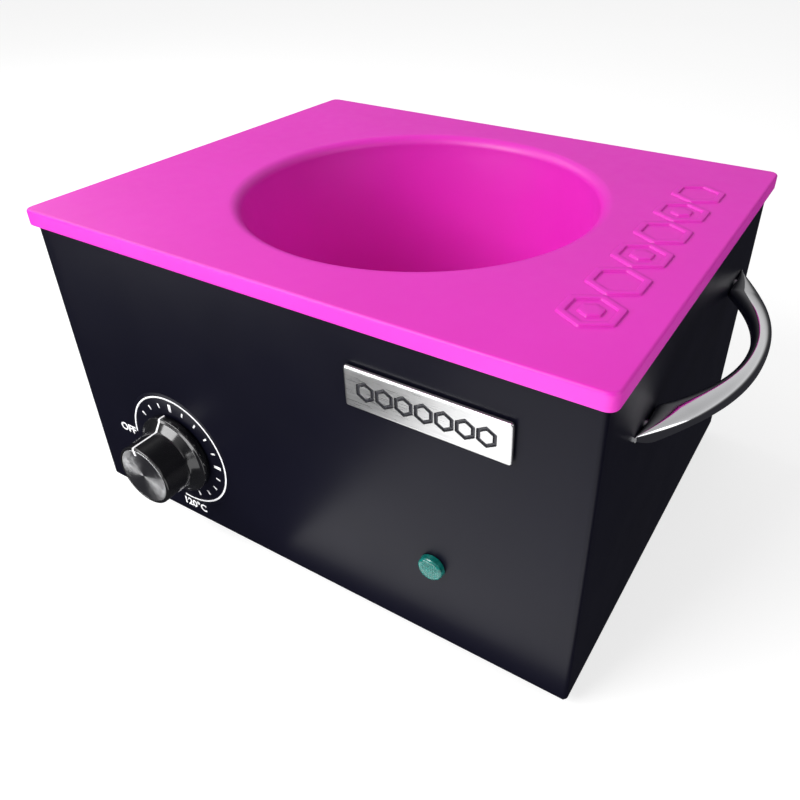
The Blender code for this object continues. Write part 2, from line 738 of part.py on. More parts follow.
def handle_mesh(name, stations):
    """A loft through the sections, which run from a flat foot to a thin bow and back."""
    bm = bmesh.new()
    rings = []
    for i in range(stations + 1):
        along = HANDLE_HALF_SPAN * (2 * i / stations - 1)
        rings.append([bm.verts.new((out, along, up)) for out, up in handle_section(along)])
    for ring, following in zip(rings, rings[1:]):
        for j, vert in enumerate(ring):
            k = (j + 1) % len(ring)
            bm.faces.new((vert, ring[k], following[k], following[j]))
    bm.faces.new(rings[0])
    bm.faces.new(rings[-1])
    bmesh.ops.recalc_face_normals(bm, faces=bm.faces)
    return mesh_from(name, bm)


def make_handles(body):
    for name, side, turn in (("right", 1, 0), ("left", -1, math.pi)):
        place = (side * (SIDE + GAP), HANDLE_Y, HANDLE_LOW)
        full_name = f"handle_{name}"
        handle = add_part(full_name, handle_mesh(full_name, 28), "chrome", body, place,
                          (0, 0, turn))
        for end_name, end in (("front", -1), ("back", 1)):
            y = HANDLE_Y + end * HANDLE_SCREW_SPACING / 2
            facing = TO_RIGHT if side > 0 else TO_LEFT
            cut(handle, rod("blind_hole", HANDLE_SCREW + GAP, -0.0030, 0.0045, "chrome", body,
                            (side * SIDE, y, HANDLE_SCREW_Z), facing, sides=12))
            seat = (side * (SIDE - STEEL - GAP), y, HANDLE_SCREW_Z)
            inward = TO_LEFT if side > 0 else TO_RIGHT
            screw(f"handle_screw_{name}_{end_name}", (0.0038, 0.0024), (HANDLE_SCREW, 0.0050),
                  "zinc_steel", body, seat, inward)


# ---- mains inlet, wiring and safety parts -------------------------------------------------

def make_inlet(body):
    """A three-pin appliance inlet with its flange on the back panel."""
    look = "black_plastic"
    low = BACK + GAP
    face = low + INLET_FLANGE
    middle = low + INLET_FLANGE / 2
    outline = rounded_rectangle(*INLET_FLANGE_SIZE, 0.0040, 3)
    inlet = prism("power_inlet", [outline], INLET_FLANGE, look, body,
                  (INLET_X, middle, INLET_Z), TO_BACK)
    shell = (INLET_SHELL[0], INLET_DEPTH, INLET_SHELL[1])
    join(inlet, box("inlet_shell", shell, look, body,
                    (INLET_X, middle - INLET_DEPTH / 2, INLET_Z)))
    width, depth, height = INLET_CAVITY
    clear = 0.0030
    cut(inlet, box("inlet_cavity", (width, depth + clear, height), look, body,
                   (INLET_X, face + (clear - depth) / 2, INLET_Z)))
    for side, name in ((-1, "left"), (1, "right")):
        x = INLET_X + side * INLET_SCREW_SPACING / 2
        drill(inlet, "flange_hole", 0.0019, look, body, (x, low, INLET_Z), TO_BACK)
        screw(f"inlet_screw_{name}", (0.0028, INLET_SCREW_HEAD), (0.0015, 0.0070), "zinc_steel",
              body, (x, INLET_SCREW_SEAT, INLET_Z), TO_BACK)
    slot = (PIN_SIZE[0] + 2 * GAP, 0.0120, PIN_SIZE[2] + 2 * GAP)
    for name, (dx, dz) in INLET_PINS.items():
        x = INLET_X + dx
        z = INLET_Z + dz
        cut(inlet, box("pin_slot", slot, look, body, (x, middle - INLET_DEPTH + 0.0040, z)))
        box(f"inlet_pin_{name}", PIN_SIZE, "brass", body, (x, PIN_BACK + PIN_SIZE[1] / 2, z))


def make_terminal_block(body):
    look = "ceramic"
    x, y = TERMINAL_BLOCK
    width, depth, height = TERMINAL_SIZE
    low = PLATE_TOP + GAP
    block = box("terminal_block", TERMINAL_SIZE, look, body, (x, y, low + height / 2))
    for i in (-1, 0, 1):
        cut(block, rod("terminal_screw_well", 0.0024, -0.0060, 0.01, look, body,
                       (x + i * width / 3, y, low + height), sides=12))


def make_safety_parts(body):
    disc = [
        (0, CUTOUT_TOP),
        (CUTOUT_RADIUS, CUTOUT_TOP),
        (CUTOUT_RADIUS, CUTOUT_TOP - 0.0030),
        (CUTOUT_RADIUS - 0.0012, CUTOUT_TOP - 0.0035),
        (CUTOUT_RADIUS - 0.0012, CUTOUT_BOTTOM),
        (0, CUTOUT_BOTTOM),
    ]
    turned("thermal_cutout", disc, "ceramic", body)
    x, y = EARTH_POINT
    stud = [
        (0, PLATE_TOP + 0.0120),
        (0.0018, PLATE_TOP + 0.0120),
        (0.0020, PLATE_TOP + 0.0115),
        (0.0020, PLATE_TOP + GAP + 0.0015),
        (0.0040, PLATE_TOP + GAP + 0.0015),
        (0.0040, PLATE_TOP + GAP),
        (0, PLATE_TOP + GAP),
    ]
    turned("earth_stud", stud, "brass", body, (x, y, 0), steps=12)
    nut_low = PLATE_TOP + GAP + 0.0015 + GAP
    nut = rod("earth_nut", 0.0040, nut_low, nut_low + 0.0030, "brass", body, (x, y, 0), sides=6)
    cut(nut, rod("earth_nut_hole", 0.0023, -0.01, 0.03, "brass", body, (x, y, 0), sides=12))


def make_bulb(body):
    """The sensing bulb lies along Y against the well, under the heater."""
    x = -BULB_X
    half = BULB_LENGTH / 2
    place = (x, 0, BULB_Z)
    rod("thermostat_bulb", BULB_RADIUS, -half, half, "copper", body, place, TO_BACK, sides=16)
    wall = 0.0010
    outside = BULB_RADIUS + GAP + wall
    clip = rod("bulb_clip", outside, -0.0040, 0.0040, "zinc_steel", body, place, TO_BACK, sides=16)
    cut(clip, rod("clip_bore", BULB_RADIUS + GAP, -0.02, 0.02, "zinc_steel", body, place, TO_BACK,
                  sides=16))
    tube_end = (DIAL_X + 0.010, THERMOSTAT_BACK + GAP, DIAL_Z + 0.008)
    route = [
        (x, -half - GAP, BULB_Z),
        (x, -half - 0.010, BULB_Z - 0.001),
        (x - 0.008, -half - 0.022, BULB_Z - 0.008),
        (x + 0.002, -half - 0.036, BULB_Z - 0.014),
        (tube_end[0], tube_end[1] + 0.008, tube_end[2]),
        tube_end,
    ]
    lead("capillary_tube", route, 0.0008, "copper", body, 0.005)


def make_leads(body):
    """Internal wiring; every lead runs low round the well, from one terminal to the next."""
    floor = PLATE_TOP + 0.0050
    stub = 0.0060
    pin_y = PIN_BACK - GAP
    pins = {name: (INLET_X + dx, INLET_Z + dz) for name, (dx, dz) in INLET_PINS.items()}
    block_x, block_y = TERMINAL_BLOCK
    block_z = PLATE_TOP + GAP + 0.0080
    block_right = block_x + TERMINAL_SIZE[0] / 2 + GAP
    block_front = block_y - TERMINAL_SIZE[1] / 2 - GAP
    block_left_way = block_x - TERMINAL_SIZE[0] / 3
    back = THERMOSTAT_BACK + GAP
    cutout = CUTOUT_BOTTOM - GAP
    heater = HEATER_LOW - GAP
    heater_radius = wall_radius(HEATER_LOW, (HEATER_INSIDE + HEATER_OUTSIDE) / 2)
    terminals = []
    for angle in HEATER_TERMINALS:
        terminals.append((heater_radius * math.cos(angle), heater_radius * math.sin(angle)))
    earth_x, earth_y = EARTH_POINT
    earth_z = PLATE_TOP + 0.0120 + GAP
    lamp_y = FRONT + 0.0240 + GAP
    routes = {
        "lead_live": ("lead_brown", [
            (pins["live"][0], pin_y, pins["live"][1]),
            (pins["live"][0], pin_y - stub, pins["live"][1]),
            (0.092, 0.030, floor),
            (0.096, -0.030, floor),
            (0.060, -0.076, floor),
            (-0.020, -0.076, floor),
            (-0.052, -0.068, 0.016),
            (DIAL_X + 0.004, back + stub, 0.036),
            (DIAL_X + 0.004, back, 0.036),
        ]),
        "lead_neutral": ("lead_blue", [
            (pins["neutral"][0], pin_y, pins["neutral"][1]),
            (pins["neutral"][0], pin_y - stub, pins["neutral"][1]),
            (0.066, 0.058, 0.018),
            (0.047, 0.062, block_z),
            (block_right + stub, block_y, block_z),
            (block_right, block_y, block_z),
        ]),
        "lead_earth": ("lead_green", [
            (pins["earth"][0], pin_y, pins["earth"][1]),
            (pins["earth"][0], pin_y - stub, pins["earth"][1]),
            (earth_x + 0.006, earth_y, 0.032),
            (earth_x, earth_y, earth_z + stub),
            (earth_x, earth_y, earth_z),
        ]),
        "lead_switched": ("lead_brown", [
            (DIAL_X - 0.006, back, 0.036),
            (DIAL_X - 0.006, back + stub, 0.036),
            (-0.050, -0.040, 0.020),
            (-0.014, -0.006, 0.019),
            (-0.004, 0, cutout - stub),
            (-0.004, 0, cutout),
        ]),
        "lead_heater_live": ("lead_brown", [
            (0.004, 0, cutout),
            (0.004, 0, cutout - stub),
            (-0.006, 0.030, 0.014),
            (-0.062, 0.042, 0.018),
            (-0.080, 0.043, 0.045),
            (*terminals[0], heater - stub),
            (*terminals[0], heater),
        ]),
        "lead_heater_neutral": ("lead_blue", [
            (block_left_way, block_front, block_z),
            (block_left_way, block_front - stub, block_z),
            (-0.030, 0.062, floor),
            (-0.062, 0.060, 0.020),
            (-0.072, 0.059, 0.047),
            (*terminals[1], heater - stub),
            (*terminals[1], heater),
        ]),
        "lead_lamp_live": ("lead_brown", [
            (LAMP_X - 0.002, lamp_y, LAMP_Z),
            (LAMP_X - 0.002, lamp_y + stub, LAMP_Z),
            (0.044, -0.086, 0.020),
            (-0.020, -0.090, 0.016),
            (DIAL_X + 0.012, back + stub, 0.040),
            (DIAL_X + 0.012, back, 0.040),
        ]),
        "lead_lamp_neutral": ("lead_blue", [
            (LAMP_X + 0.002, lamp_y, LAMP_Z),
            (LAMP_X + 0.002, lamp_y + stub, LAMP_Z),
            (0.086, -0.050, 0.020),
            (0.078, 0.020, floor + 0.006),
            (block_x + 0.014, block_front - 0.012, block_z),
            (block_x, block_front - stub, block_z),
            (block_x, block_front, block_z),
        ]),
    }
    for name, (look, route) in routes.items():
        lead(name, route, LEAD_RADIUS, look, body)


# ---- assembly -----------------------------------------------------------------------------

def build():
    warmer = new_empty("warmer_body", (0, BODY_Y, 0))
    knob = new_empty("knob_axis", (DIAL_X, FRONT, DIAL_Z), warmer)
    knob.rotation_euler = TO_FRONT
    liner = new_empty("liner_seat", (0, 0, 0), warmer)
    make_casing(warmer)
    make_deck(warmer)
    make_base(warmer)
    make_feet(warmer)
    make_base_screws(warmer)
    make_well(warmer)
    make_liner(liner)
    make_heater(warmer)
    make_lagging(warmer)
    make_thermostat(warmer)
    make_dial(warmer)
    make_knob(knob)
    make_lamp(warmer)
    make_badge(warmer)
    make_handles(warmer)
    make_inlet(warmer)
    make_terminal_block(warmer)
    make_safety_parts(warmer)
    make_bulb(warmer)
    make_leads(warmer)


FEET = corners(SIDE - FOOT_INSET, BACK - FOOT_INSET)
BASE_SCREWS = corners(SIDE - RETURN_FLANGE / 2, BACK - BASE_SCREW_SETBACK)
clear_scene()
PARTS = new_collection("wax_warmer")
CUTTERS = new_collection("cutters")
build()
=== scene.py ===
"""The looks of the electric wax warmer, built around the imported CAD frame.

Units are metres in the frame's own axes: X runs left to right, Y front to back, Z up.
"""

import json
import math

import bmesh
import bpy
from mathutils import Matrix, Vector


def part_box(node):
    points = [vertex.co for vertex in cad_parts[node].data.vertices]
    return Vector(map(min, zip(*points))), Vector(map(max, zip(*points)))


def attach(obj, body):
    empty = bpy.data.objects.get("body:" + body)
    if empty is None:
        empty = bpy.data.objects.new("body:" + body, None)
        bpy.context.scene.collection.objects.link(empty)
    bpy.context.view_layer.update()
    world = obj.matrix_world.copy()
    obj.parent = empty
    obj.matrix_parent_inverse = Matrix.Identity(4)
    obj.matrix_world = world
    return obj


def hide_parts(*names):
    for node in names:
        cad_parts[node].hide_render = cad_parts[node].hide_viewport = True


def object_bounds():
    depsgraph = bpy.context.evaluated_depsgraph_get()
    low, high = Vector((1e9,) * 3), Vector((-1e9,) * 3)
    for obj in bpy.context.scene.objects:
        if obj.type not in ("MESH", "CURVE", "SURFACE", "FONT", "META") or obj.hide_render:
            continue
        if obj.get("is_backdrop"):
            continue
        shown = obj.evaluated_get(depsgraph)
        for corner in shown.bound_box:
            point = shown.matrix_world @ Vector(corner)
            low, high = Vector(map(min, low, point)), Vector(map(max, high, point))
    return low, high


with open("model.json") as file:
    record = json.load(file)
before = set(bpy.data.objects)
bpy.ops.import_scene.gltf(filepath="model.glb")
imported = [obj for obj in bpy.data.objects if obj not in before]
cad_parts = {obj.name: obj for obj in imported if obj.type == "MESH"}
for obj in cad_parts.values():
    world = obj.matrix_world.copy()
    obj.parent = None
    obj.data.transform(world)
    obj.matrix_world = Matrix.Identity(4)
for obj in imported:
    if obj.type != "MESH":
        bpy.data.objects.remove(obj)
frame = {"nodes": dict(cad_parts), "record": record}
cad_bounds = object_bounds()

# ---- places read from the frame -----------------------------------------------------------

CASING_LOW, CASING_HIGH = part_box("outer_casing")
LINER_LOW, LINER_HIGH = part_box("silicone_liner")
DIAL_LOW, DIAL_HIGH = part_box("dial_scale")
LENS_LOW, LENS_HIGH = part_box("lamp_lens")
BADGE_LOW, BADGE_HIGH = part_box("name_badge")
WELL_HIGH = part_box("heating_well")[1]

FRONT = CASING_LOW.y
BACK = CASING_HIGH.y
SIDE = CASING_HIGH.x
CENTRE_Y = (FRONT + BACK) / 2
HALF_DEPTH = (BACK - FRONT) / 2
RIM_TOP = LINER_HIGH.z
DIAL = Vector(((DIAL_LOW.x + DIAL_HIGH.x) / 2, FRONT, (DIAL_LOW.z + DIAL_HIGH.z) / 2))
LAMP = Vector(((LENS_LOW.x + LENS_HIGH.x) / 2, FRONT, (LENS_LOW.z + LENS_HIGH.z) / 2))

# ---- sizes --------------------------------------------------------------------------------

STEEL = 0.0012
RETURN_FLANGE = 0.0160
PANEL_HOLE = 0.0050

SILICONE = 0.0030
LINER_SKIRT = 0.0025
LINER_SKIRT_HEIGHT = 0.0070
RIM_CORNER = 0.0040
RIM_EDGE = 0.0011
BOWL_RADIUS = 0.0785
BOWL_FLOOR_RADIUS = 0.0720
BOWL_FLOOR = 0.0440
BOWL_FILLET = 0.0250
FILLET_Z = BOWL_FLOOR + BOWL_FILLET
LIP_ACROSS = 0.0054
LIP_DEEP = 0.0050
NECK_FLARE = 0.0010
FLARE_START = 0.1260
RELIEF = 0.0008

WELL_CLEARANCE = 0.0005
WELL_WALL = 0.0015
WELL_FLANGE = 0.0010
WELL_ROLL = 0.0012

KNOB_REACH = 0.0214
KNOB_RADIUS = 0.0151
KNOB_SKIRT_RADIUS = 0.0200
KNOB_SKIRT_BACK = 0.0013
CAP_RADIUS = 0.01365
CAP_SEAT = 0.0008
SHAFT_BORE = 0.0033
KNOB_HOLLOW = 0.0031
BORE_END = 0.0150
POINTER_ANGLE = math.radians(100)
RING_RADIUS = 0.0289
TICK_RADIUS = 0.0243

LENS_FACE = 0.0046
LENS_RADIUS = 0.0056
LENS_CROWN = 0.0040

HANDLE_Y = 0.0050
HANDLE_LOW = 0.1075
HANDLE_HEIGHT = 0.0080
HANDLE_HALF_SPAN = 0.0755
HANDLE_INNER_HALF_SPAN = 0.0520
HANDLE_REACH = 0.0270
HANDLE_THICKNESS = 0.0070
HANDLE_CURVE = 2.1
HANDLE_SQUARE = 2.5
HANDLE_DROP = 0.0020

INLET_HOLE = (0.0276, 0.0206)
INLET_DEPTH = 0.0170

GAP = 0.0003
SUPPORT = 0.00035
TURN_STEPS = 128
TO_FRONT = (math.pi / 2, 0, 0)
TO_BACK = (-math.pi / 2, 0, 0)
DOWN = (math.pi, 0, 0)


# ---- materials ----------------------------------------------------------------------------

def new_material(name, colour, roughness, metallic=0.0, constants=None):
    """A Principled material; constants are numbers set straight on the shader's sockets."""
    material = bpy.data.materials.new(name)
    material.use_nodes = True
    shader = material.node_tree.nodes["Principled BSDF"]
    shader.inputs["Base Color"].default_value = (*colour, 1.0)
    shader.inputs["Roughness"].default_value = roughness
    shader.inputs["Metallic"].default_value = metallic
    for socket, value in (constants or {}).items():
        shader.inputs[socket].default_value = value
    material.diffuse_color = (*colour, 1.0)
    return material


def noise(material, scale, detail=3.0, stretch=(1, 1, 1)):
    """Noise in the piece's own coordinates; scale is in features per metre."""
    nodes, links = material.node_tree.nodes, material.node_tree.links
    coordinates = nodes.new("ShaderNodeTexCoord")
    mapping = nodes.new("ShaderNodeMapping")
    mapping.inputs["Scale"].default_value = stretch
    texture = nodes.new("ShaderNodeTexNoise")
    texture.inputs["Scale"].default_value = scale
    texture.inputs["Detail"].default_value = detail
    links.new(coordinates.outputs["Object"], mapping.inputs["Vector"])
    links.new(mapping.outputs["Vector"], texture.inputs["Vector"])
    return texture.outputs["Fac"]


def vary_colour(material, factor, dark, light):
    nodes, links = material.node_tree.nodes, material.node_tree.links
    ramp = nodes.new("ShaderNodeValToRGB")
    ramp.color_ramp.elements[0].position = 0.30
    ramp.color_ramp.elements[1].position = 0.70
    ramp.color_ramp.elements[0].color = (*dark, 1.0)
    ramp.color_ramp.elements[1].color = (*light, 1.0)
    links.new(factor, ramp.inputs["Fac"])
    links.new(ramp.outputs["Color"], nodes["Principled BSDF"].inputs["Base Color"])


def vary_roughness(material, factor, low, high):
    nodes, links = material.node_tree.nodes, material.node_tree.links
    spread = nodes.new("ShaderNodeMapRange")
    spread.inputs["From Min"].default_value = 0.30
    spread.inputs["From Max"].default_value = 0.70
    spread.inputs["To Min"].default_value = low
    spread.inputs["To Max"].default_value = high
    links.new(factor, spread.inputs["Value"])
    links.new(spread.outputs["Result"], nodes["Principled BSDF"].inputs["Roughness"])


def add_relief(material, factor, depth, strength=1.0):
    """Fine relief of the given depth in metres."""
    nodes, links = material.node_tree.nodes, material.node_tree.links
    bump = nodes.new("ShaderNodeBump")
    bump.inputs["Strength"].default_value = strength
    bump.inputs["Distance"].default_value = depth
    links.new(factor, bump.inputs["Height"])
    links.new(bump.outputs["Normal"], nodes["Principled BSDF"].inputs["Normal"])


def shade(colour, amount):
    return tuple(channel * amount for channel in colour)


def worn(name, colour, roughness, metallic=0.0, contrast=0.10, spread=0.06, blotch=90,
         grain=2200, depth=0.00001, stretch=(1, 1, 1), constants=None):
    """A finish with cloudy colour, uneven gloss and a fine grain.

    contrast and spread say how far colour and roughness wander; blotch and grain count
    features per metre, and depth is the height of the grain.
    """
    material = new_material(name, colour, roughness, metallic, constants)
    vary_colour(material, noise(material, blotch, 4.0, stretch), shade(colour, 1 - contrast),
                shade(colour, 1 + contrast))
    vary_roughness(material, noise(material, blotch * 1.7, 5.0, stretch), roughness - spread,
                   roughness + spread)
    add_relief(material, noise(material, grain, 2.0, stretch), depth)
    return material


def spun_metal(name, colour):
    """Turned aluminium: its highlights fan out from the middle of the face."""
    material = new_material(name, colour, 0.34, 1.0, {"Anisotropic": 0.85})
    nodes, links = material.node_tree.nodes, material.node_tree.links
    tangent = nodes.new("ShaderNodeTangent")
    tangent.direction_type = "RADIAL"
    tangent.axis = "Z"
    links.new(tangent.outputs["Tangent"], nodes["Principled BSDF"].inputs["Tangent"])
    coordinates = nodes.new("ShaderNodeTexCoord")
    rings = nodes.new("ShaderNodeTexWave")
    rings.wave_type = "RINGS"
    rings.rings_direction = "Z"
    rings.inputs["Scale"].default_value = 900
    rings.inputs["Distortion"].default_value = 1.5
    links.new(coordinates.outputs["Object"], rings.inputs["Vector"])
    vary_colour(material, rings.outputs["Fac"], shade(colour, 0.90), shade(colour, 1.05))
    vary_roughness(material, noise(material, 500, 3.0), 0.28, 0.38)
    return material


def steel_grain(name, colour, stretch):
    """Brushed metal with its grain along one axis."""
    material = new_material(name, colour, 0.30, 1.0)
    vary_colour(material, noise(material, 500, 6.0, stretch), shade(colour, 0.90),
                shade(colour, 1.06))
    vary_roughness(material, noise(material, 700, 6.0, stretch), 0.26, 0.36)
    add_relief(material, noise(material, 1100, 4.0, stretch), 0.000012, 0.7)
    return material


def moulded_silicone(name):
    """Soft matt silicone that lets a little light through its edges."""
    colour = (0.700, 0.017, 0.475)
    constants = {"Subsurface Weight": 0.12, "Subsurface Radius": (0.0030, 0.0006, 0.0018),
                 "Subsurface Scale": 1.0, "Specular IOR Level": 0.50}
    material = new_material(name, colour, 0.44, 0.0, constants)
    vary_colour(material, noise(material, 22, 2.0), (0.690, 0.016, 0.465), (0.710, 0.018, 0.485))
    vary_roughness(material, noise(material, 160, 4.0), 0.41, 0.47)
    add_relief(material, noise(material, 1800, 3.0), 0.000008, 0.6)
    return material


def powder_coat(name, colour):
    """Satin black coat with a faint orange peel."""
    material = new_material(name, colour, 0.33, 0.0, {"Specular IOR Level": 0.13})
    vary_colour(material, noise(material, 26, 2.0), shade(colour, 0.94), shade(colour, 1.06))
    vary_roughness(material, noise(material, 40, 3.0), 0.31, 0.35)
    add_relief(material, noise(material, 900, 2.0), 0.00001, 0.5)
    return material


BLACK = (0.0036, 0.0035, 0.0085)
FINISHES = {
    "black_steel": powder_coat("black_powder_coat", BLACK),
    "dial_print": powder_coat("black_scale_foil", BLACK),
    "pink_silicone": moulded_silicone("pink_silicone"),
    "zinc_steel": worn("zinc_plate", (0.52, 0.53, 0.55), 0.40, 1.0, 0.22, 0.10, 210, 900),
    "aluminium": steel_grain("drawn_aluminium", (0.76, 0.76, 0.78), (0.2, 0.2, 6.0)),
    "mica": worn("mica_band", (0.42, 0.33, 0.21), 0.55, 0.0, 0.25, 0.10, 150, 900, 0.00004),
    "lagging": worn("glass_felt", (0.80, 0.78, 0.71), 0.95, 0.0, 0.10, 0.02, 300, 1500, 0.0003),
    "knob_black": worn("gloss_black_plastic", (0.0075, 0.0075, 0.0085), 0.13, 0.0, 0.15, 0.03, 130,
                       1500, 0.000004, constants={"Coat Weight": 0.4, "Coat Roughness": 0.06}),
    "spun_aluminium": spun_metal("spun_aluminium", (0.72, 0.72, 0.73)),
    "white_print": worn("white_print", (0.86, 0.86, 0.88), 0.42, 0.0, 0.05, 0.05, 700, 2500),
    "ceramic": worn("glazed_ceramic", (0.80, 0.78, 0.72), 0.28, 0.0, 0.05, 0.08, 200, 900),
    "badge_metal": steel_grain("brushed_badge", (0.72, 0.72, 0.72), (0.15, 5.0, 5.0)),
    "rubber": worn("black_rubber", (0.022, 0.022, 0.023), 0.78, 0.0, 0.20, 0.08, 250, 1600,
                   0.00005),
    "chrome": worn("chrome_plate", (0.80, 0.80, 0.82), 0.07, 1.0, 0.03, 0.02, 60, 700, 0.000002),
    "inlet_black": worn("moulded_black", (0.018, 0.018, 0.019), 0.40, 0.0, 0.15, 0.08, 200, 1800),
    "brass": worn("brass", (0.68, 0.48, 0.20), 0.32, 1.0, 0.12, 0.08, 300, 1200),
    "copper": worn("copper", (0.72, 0.34, 0.20), 0.34, 1.0, 0.15, 0.08, 300, 1200),
    "lead_brown": worn("brown_sleeve", (0.16, 0.065, 0.03), 0.48, 0.0, 0.10, 0.06, 400, 1500),
    "lead_blue": worn("blue_sleeve", (0.03, 0.10, 0.42), 0.48, 0.0, 0.10, 0.06, 400, 1500),
    "lead_green": worn("green_sleeve", (0.10, 0.36, 0.08), 0.48, 0.0, 0.10, 0.06, 400, 1500),
    "green_lens": worn("green_lens", (0.002, 0.150, 0.130), 0.20, 0.0, 0.30, 0.04, 900, 2500,
                       constants={"Transmission Weight": 0.20, "Coat Weight": 0.3,
                                  "Coat Roughness": 0.08}),
}
INLAY = worn("badge_paint", (0.010, 0.010, 0.016), 0.30, 0.0, 0.2, 0.05, 400, 1800)


# ---- mesh helpers -------------------------------------------------------------------------

def new_piece(name, bm, slot, body, location=(0, 0, 0), rotation=(0, 0, 0), replaces=(),
              material=None):
    """Turns a bmesh into a piece with its finish, riding on a CAD body."""
    bmesh.ops.recalc_face_normals(bm, faces=bm.faces)
    mesh = bpy.data.meshes.new(name)
    bm.to_mesh(mesh)
    bm.free()
    mesh.shade_smooth()
    piece = bpy.data.objects.new(name, mesh)
    bpy.context.scene.collection.objects.link(piece)
    piece.location = location
    piece.rotation_euler = rotation
    mesh.materials.append(material or FINISHES[slot])
    bpy.context.view_layer.update()
    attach(piece, body)
    if replaces:
        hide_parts(*replaces)
    return piece


def arc(centre, radius, start, end, steps):
    """Points on an arc with both ends, as (across, up) pairs; angles in degrees."""
    points = []
    for i in range(steps + 1):
        angle = math.radians(start + (end - start) * i / steps)
        points.append((centre[0] + radius * math.cos(angle), centre[1] + radius * math.sin(angle)))
    return points


def rounded(corners, closed=False, steps=5, support=SUPPORT):
    """A smooth outline through (across, up, radius) corners, in the order given.

    Each rounded corner becomes an arc with a support point just before and after it.
    """
    points = []
    count = len(corners)
    for i, (x, y, radius) in enumerate(corners):
        ends = not closed and i in (0, count - 1)
        if ends or not radius:
            points.append(Vector((x, y)))
            continue
        corner = Vector((x, y))
        before = (Vector(corners[i - 1][:2]) - corner).normalized()
        after = (Vector(corners[(i + 1) % count][:2]) - corner).normalized()
        half = math.acos(max(-1.0, min(1.0, before.dot(after)))) / 2
        run = radius / math.tan(half)
        centre = corner + (before + after).normalized() * (radius / math.sin(half))
        first = corner + before * run - centre
        sweep = (corner + after * run - centre).angle_signed(first)
        if support:
            points.append(corner + before * (run + support))
        for k in range(steps + 1):
            turn = Matrix.Rotation(sweep * k / steps, 2)
            points.append(centre + turn @ first)
        if support:
            points.append(corner + after * (run + support))
    return points


def loft(rings, closed=False, caps=False):
    """Quads between rings of 3-D points with the same count."""
    bm = bmesh.new()
    rows = [[bm.verts.new(point) for point in ring] for ring in rings]
    pairs = list(zip(rows, rows[1:]))
    if closed:
        pairs.append((rows[-1], rows[0]))
    for row, following in pairs:
        for j, vert in enumerate(row):
            k = (j + 1) % len(row)
            bm.faces.new((vert, row[k], following[k], following[j]))
    if caps:
        bm.faces.new(rows[0])
        bm.faces.new(rows[-1])
    return bm


def lathe(profile, steps=TURN_STEPS, closed=False):
    """A profile of (radius, height) points turned about local Z; radius 0 makes a pole."""
    bm = bmesh.new()
    rows = []
    for radius, height in profile:
        if radius < 1e-7:
            rows.append([bm.verts.new((0, 0, height))])
            continue
        row = []
        for i in range(steps):
            angle = math.tau * i / steps
            place = (radius * math.cos(angle), radius * math.sin(angle), height)
            row.append(bm.verts.new(place))
        rows.append(row)
    pairs = list(zip(rows, rows[1:]))
    if closed:
        pairs.append((rows[-1], rows[0]))
    for row, following in pairs:
        for i in range(steps):
            j = (i + 1) % steps
            corners = [row[i % len(row)], row[j % len(row)],
                       following[j % len(following)], following[i % len(following)]]
            bm.faces.new(list(dict.fromkeys(corners)))
    return bm


def rectangle_ring(half_x, half_y, radius, z, centre=(0, 0), corner_steps=6, side_steps=36):
    """A rounded rectangle whose points keep their order when its size changes."""
    x = half_x - radius
    y = half_y - radius
    points = []
    corners = [(x, -y, -90), (x, y, 0), (-x, y, 90), (-x, -y, 180)]
    for i, (cx, cy, start) in enumerate(corners):
        curve = arc((cx, cy), radius, start, start + 90, corner_steps)
        points += curve
        nx, ny, angle = corners[(i + 1) % 4]
        following = arc((nx, ny), radius, angle, angle, 1)[0]
        for k in range(1, side_steps):
            share = k / side_steps
            points.append((curve[-1][0] + (following[0] - curve[-1][0]) * share,
                           curve[-1][1] + (following[1] - curve[-1][1]) * share))
    return [Vector((centre[0] + px, centre[1] + py, z)) for px, py in points]


def circle_ring(guide, radius, z, centre=(0, 0)):
    """A circle whose points lie in the directions of a guide ring's points."""
    ring = []
    for point in guide:
        offset = Vector((point.x - centre[0], point.y - centre[1])).normalized() * radius
        ring.append(Vector((centre[0] + offset.x, centre[1] + offset.y, z)))
    return ring


def blend_rings(start, end, share):
    return [a.lerp(b, share) for a, b in zip(start, end)]


def plate(outline, low, high, edge, steps=3):
    """A flat plate along local Z from low to high; outline(inset) gives its rings.

    edge is the radius round its top edge; its bottom edge stays sharp.
    """
    rings = [outline(0, low), outline(0, high - edge - SUPPORT / 2)]
    for across, up in arc((edge, high - edge), edge, 180, 90, steps):
        rings.append(outline(across, up))
    rings.append(outline(edge + SUPPORT, high))
    return loft(rings, caps=True)


def cut(piece, *tools):
    """Cuts meshes out of a piece and keeps its smooth shading."""
    for tool in tools:
        modifier = piece.modifiers.new("cut", "BOOLEAN")
        modifier.object = tool
        modifier.solver = "EXACT"
        depsgraph = bpy.context.evaluated_depsgraph_get()
        mesh = bpy.data.meshes.new_from_object(piece.evaluated_get(depsgraph))
        piece.modifiers.clear()
        piece.data = mesh
        bpy.data.objects.remove(tool, do_unlink=True)
    piece.data.shade_smooth()
    piece.data.set_sharp_from_angle(angle=math.radians(35))


def cutter(bm, location=(0, 0, 0), rotation=(0, 0, 0)):
    bmesh.ops.recalc_face_normals(bm, faces=bm.faces)
    mesh = bpy.data.meshes.new("cutter")
    bm.to_mesh(mesh)
    bm.free()
    tool = bpy.data.objects.new("cutter", mesh)
    bpy.context.scene.collection.objects.link(tool)
    tool.location = location
    tool.rotation_euler = rotation
    bpy.context.view_layer.update()
    return tool


def block(size, centre=(0, 0, 0)):
    bm = bmesh.new()
    place = Matrix.Translation(centre) @ Matrix.Diagonal((*size, 1.0))
    bmesh.ops.create_cube(bm, size=1.0, matrix=place)
    return bm


def cylinder(radius, low, high, steps=48):
    return lathe([(0, high), (radius, high), (radius, low), (0, low)], steps)


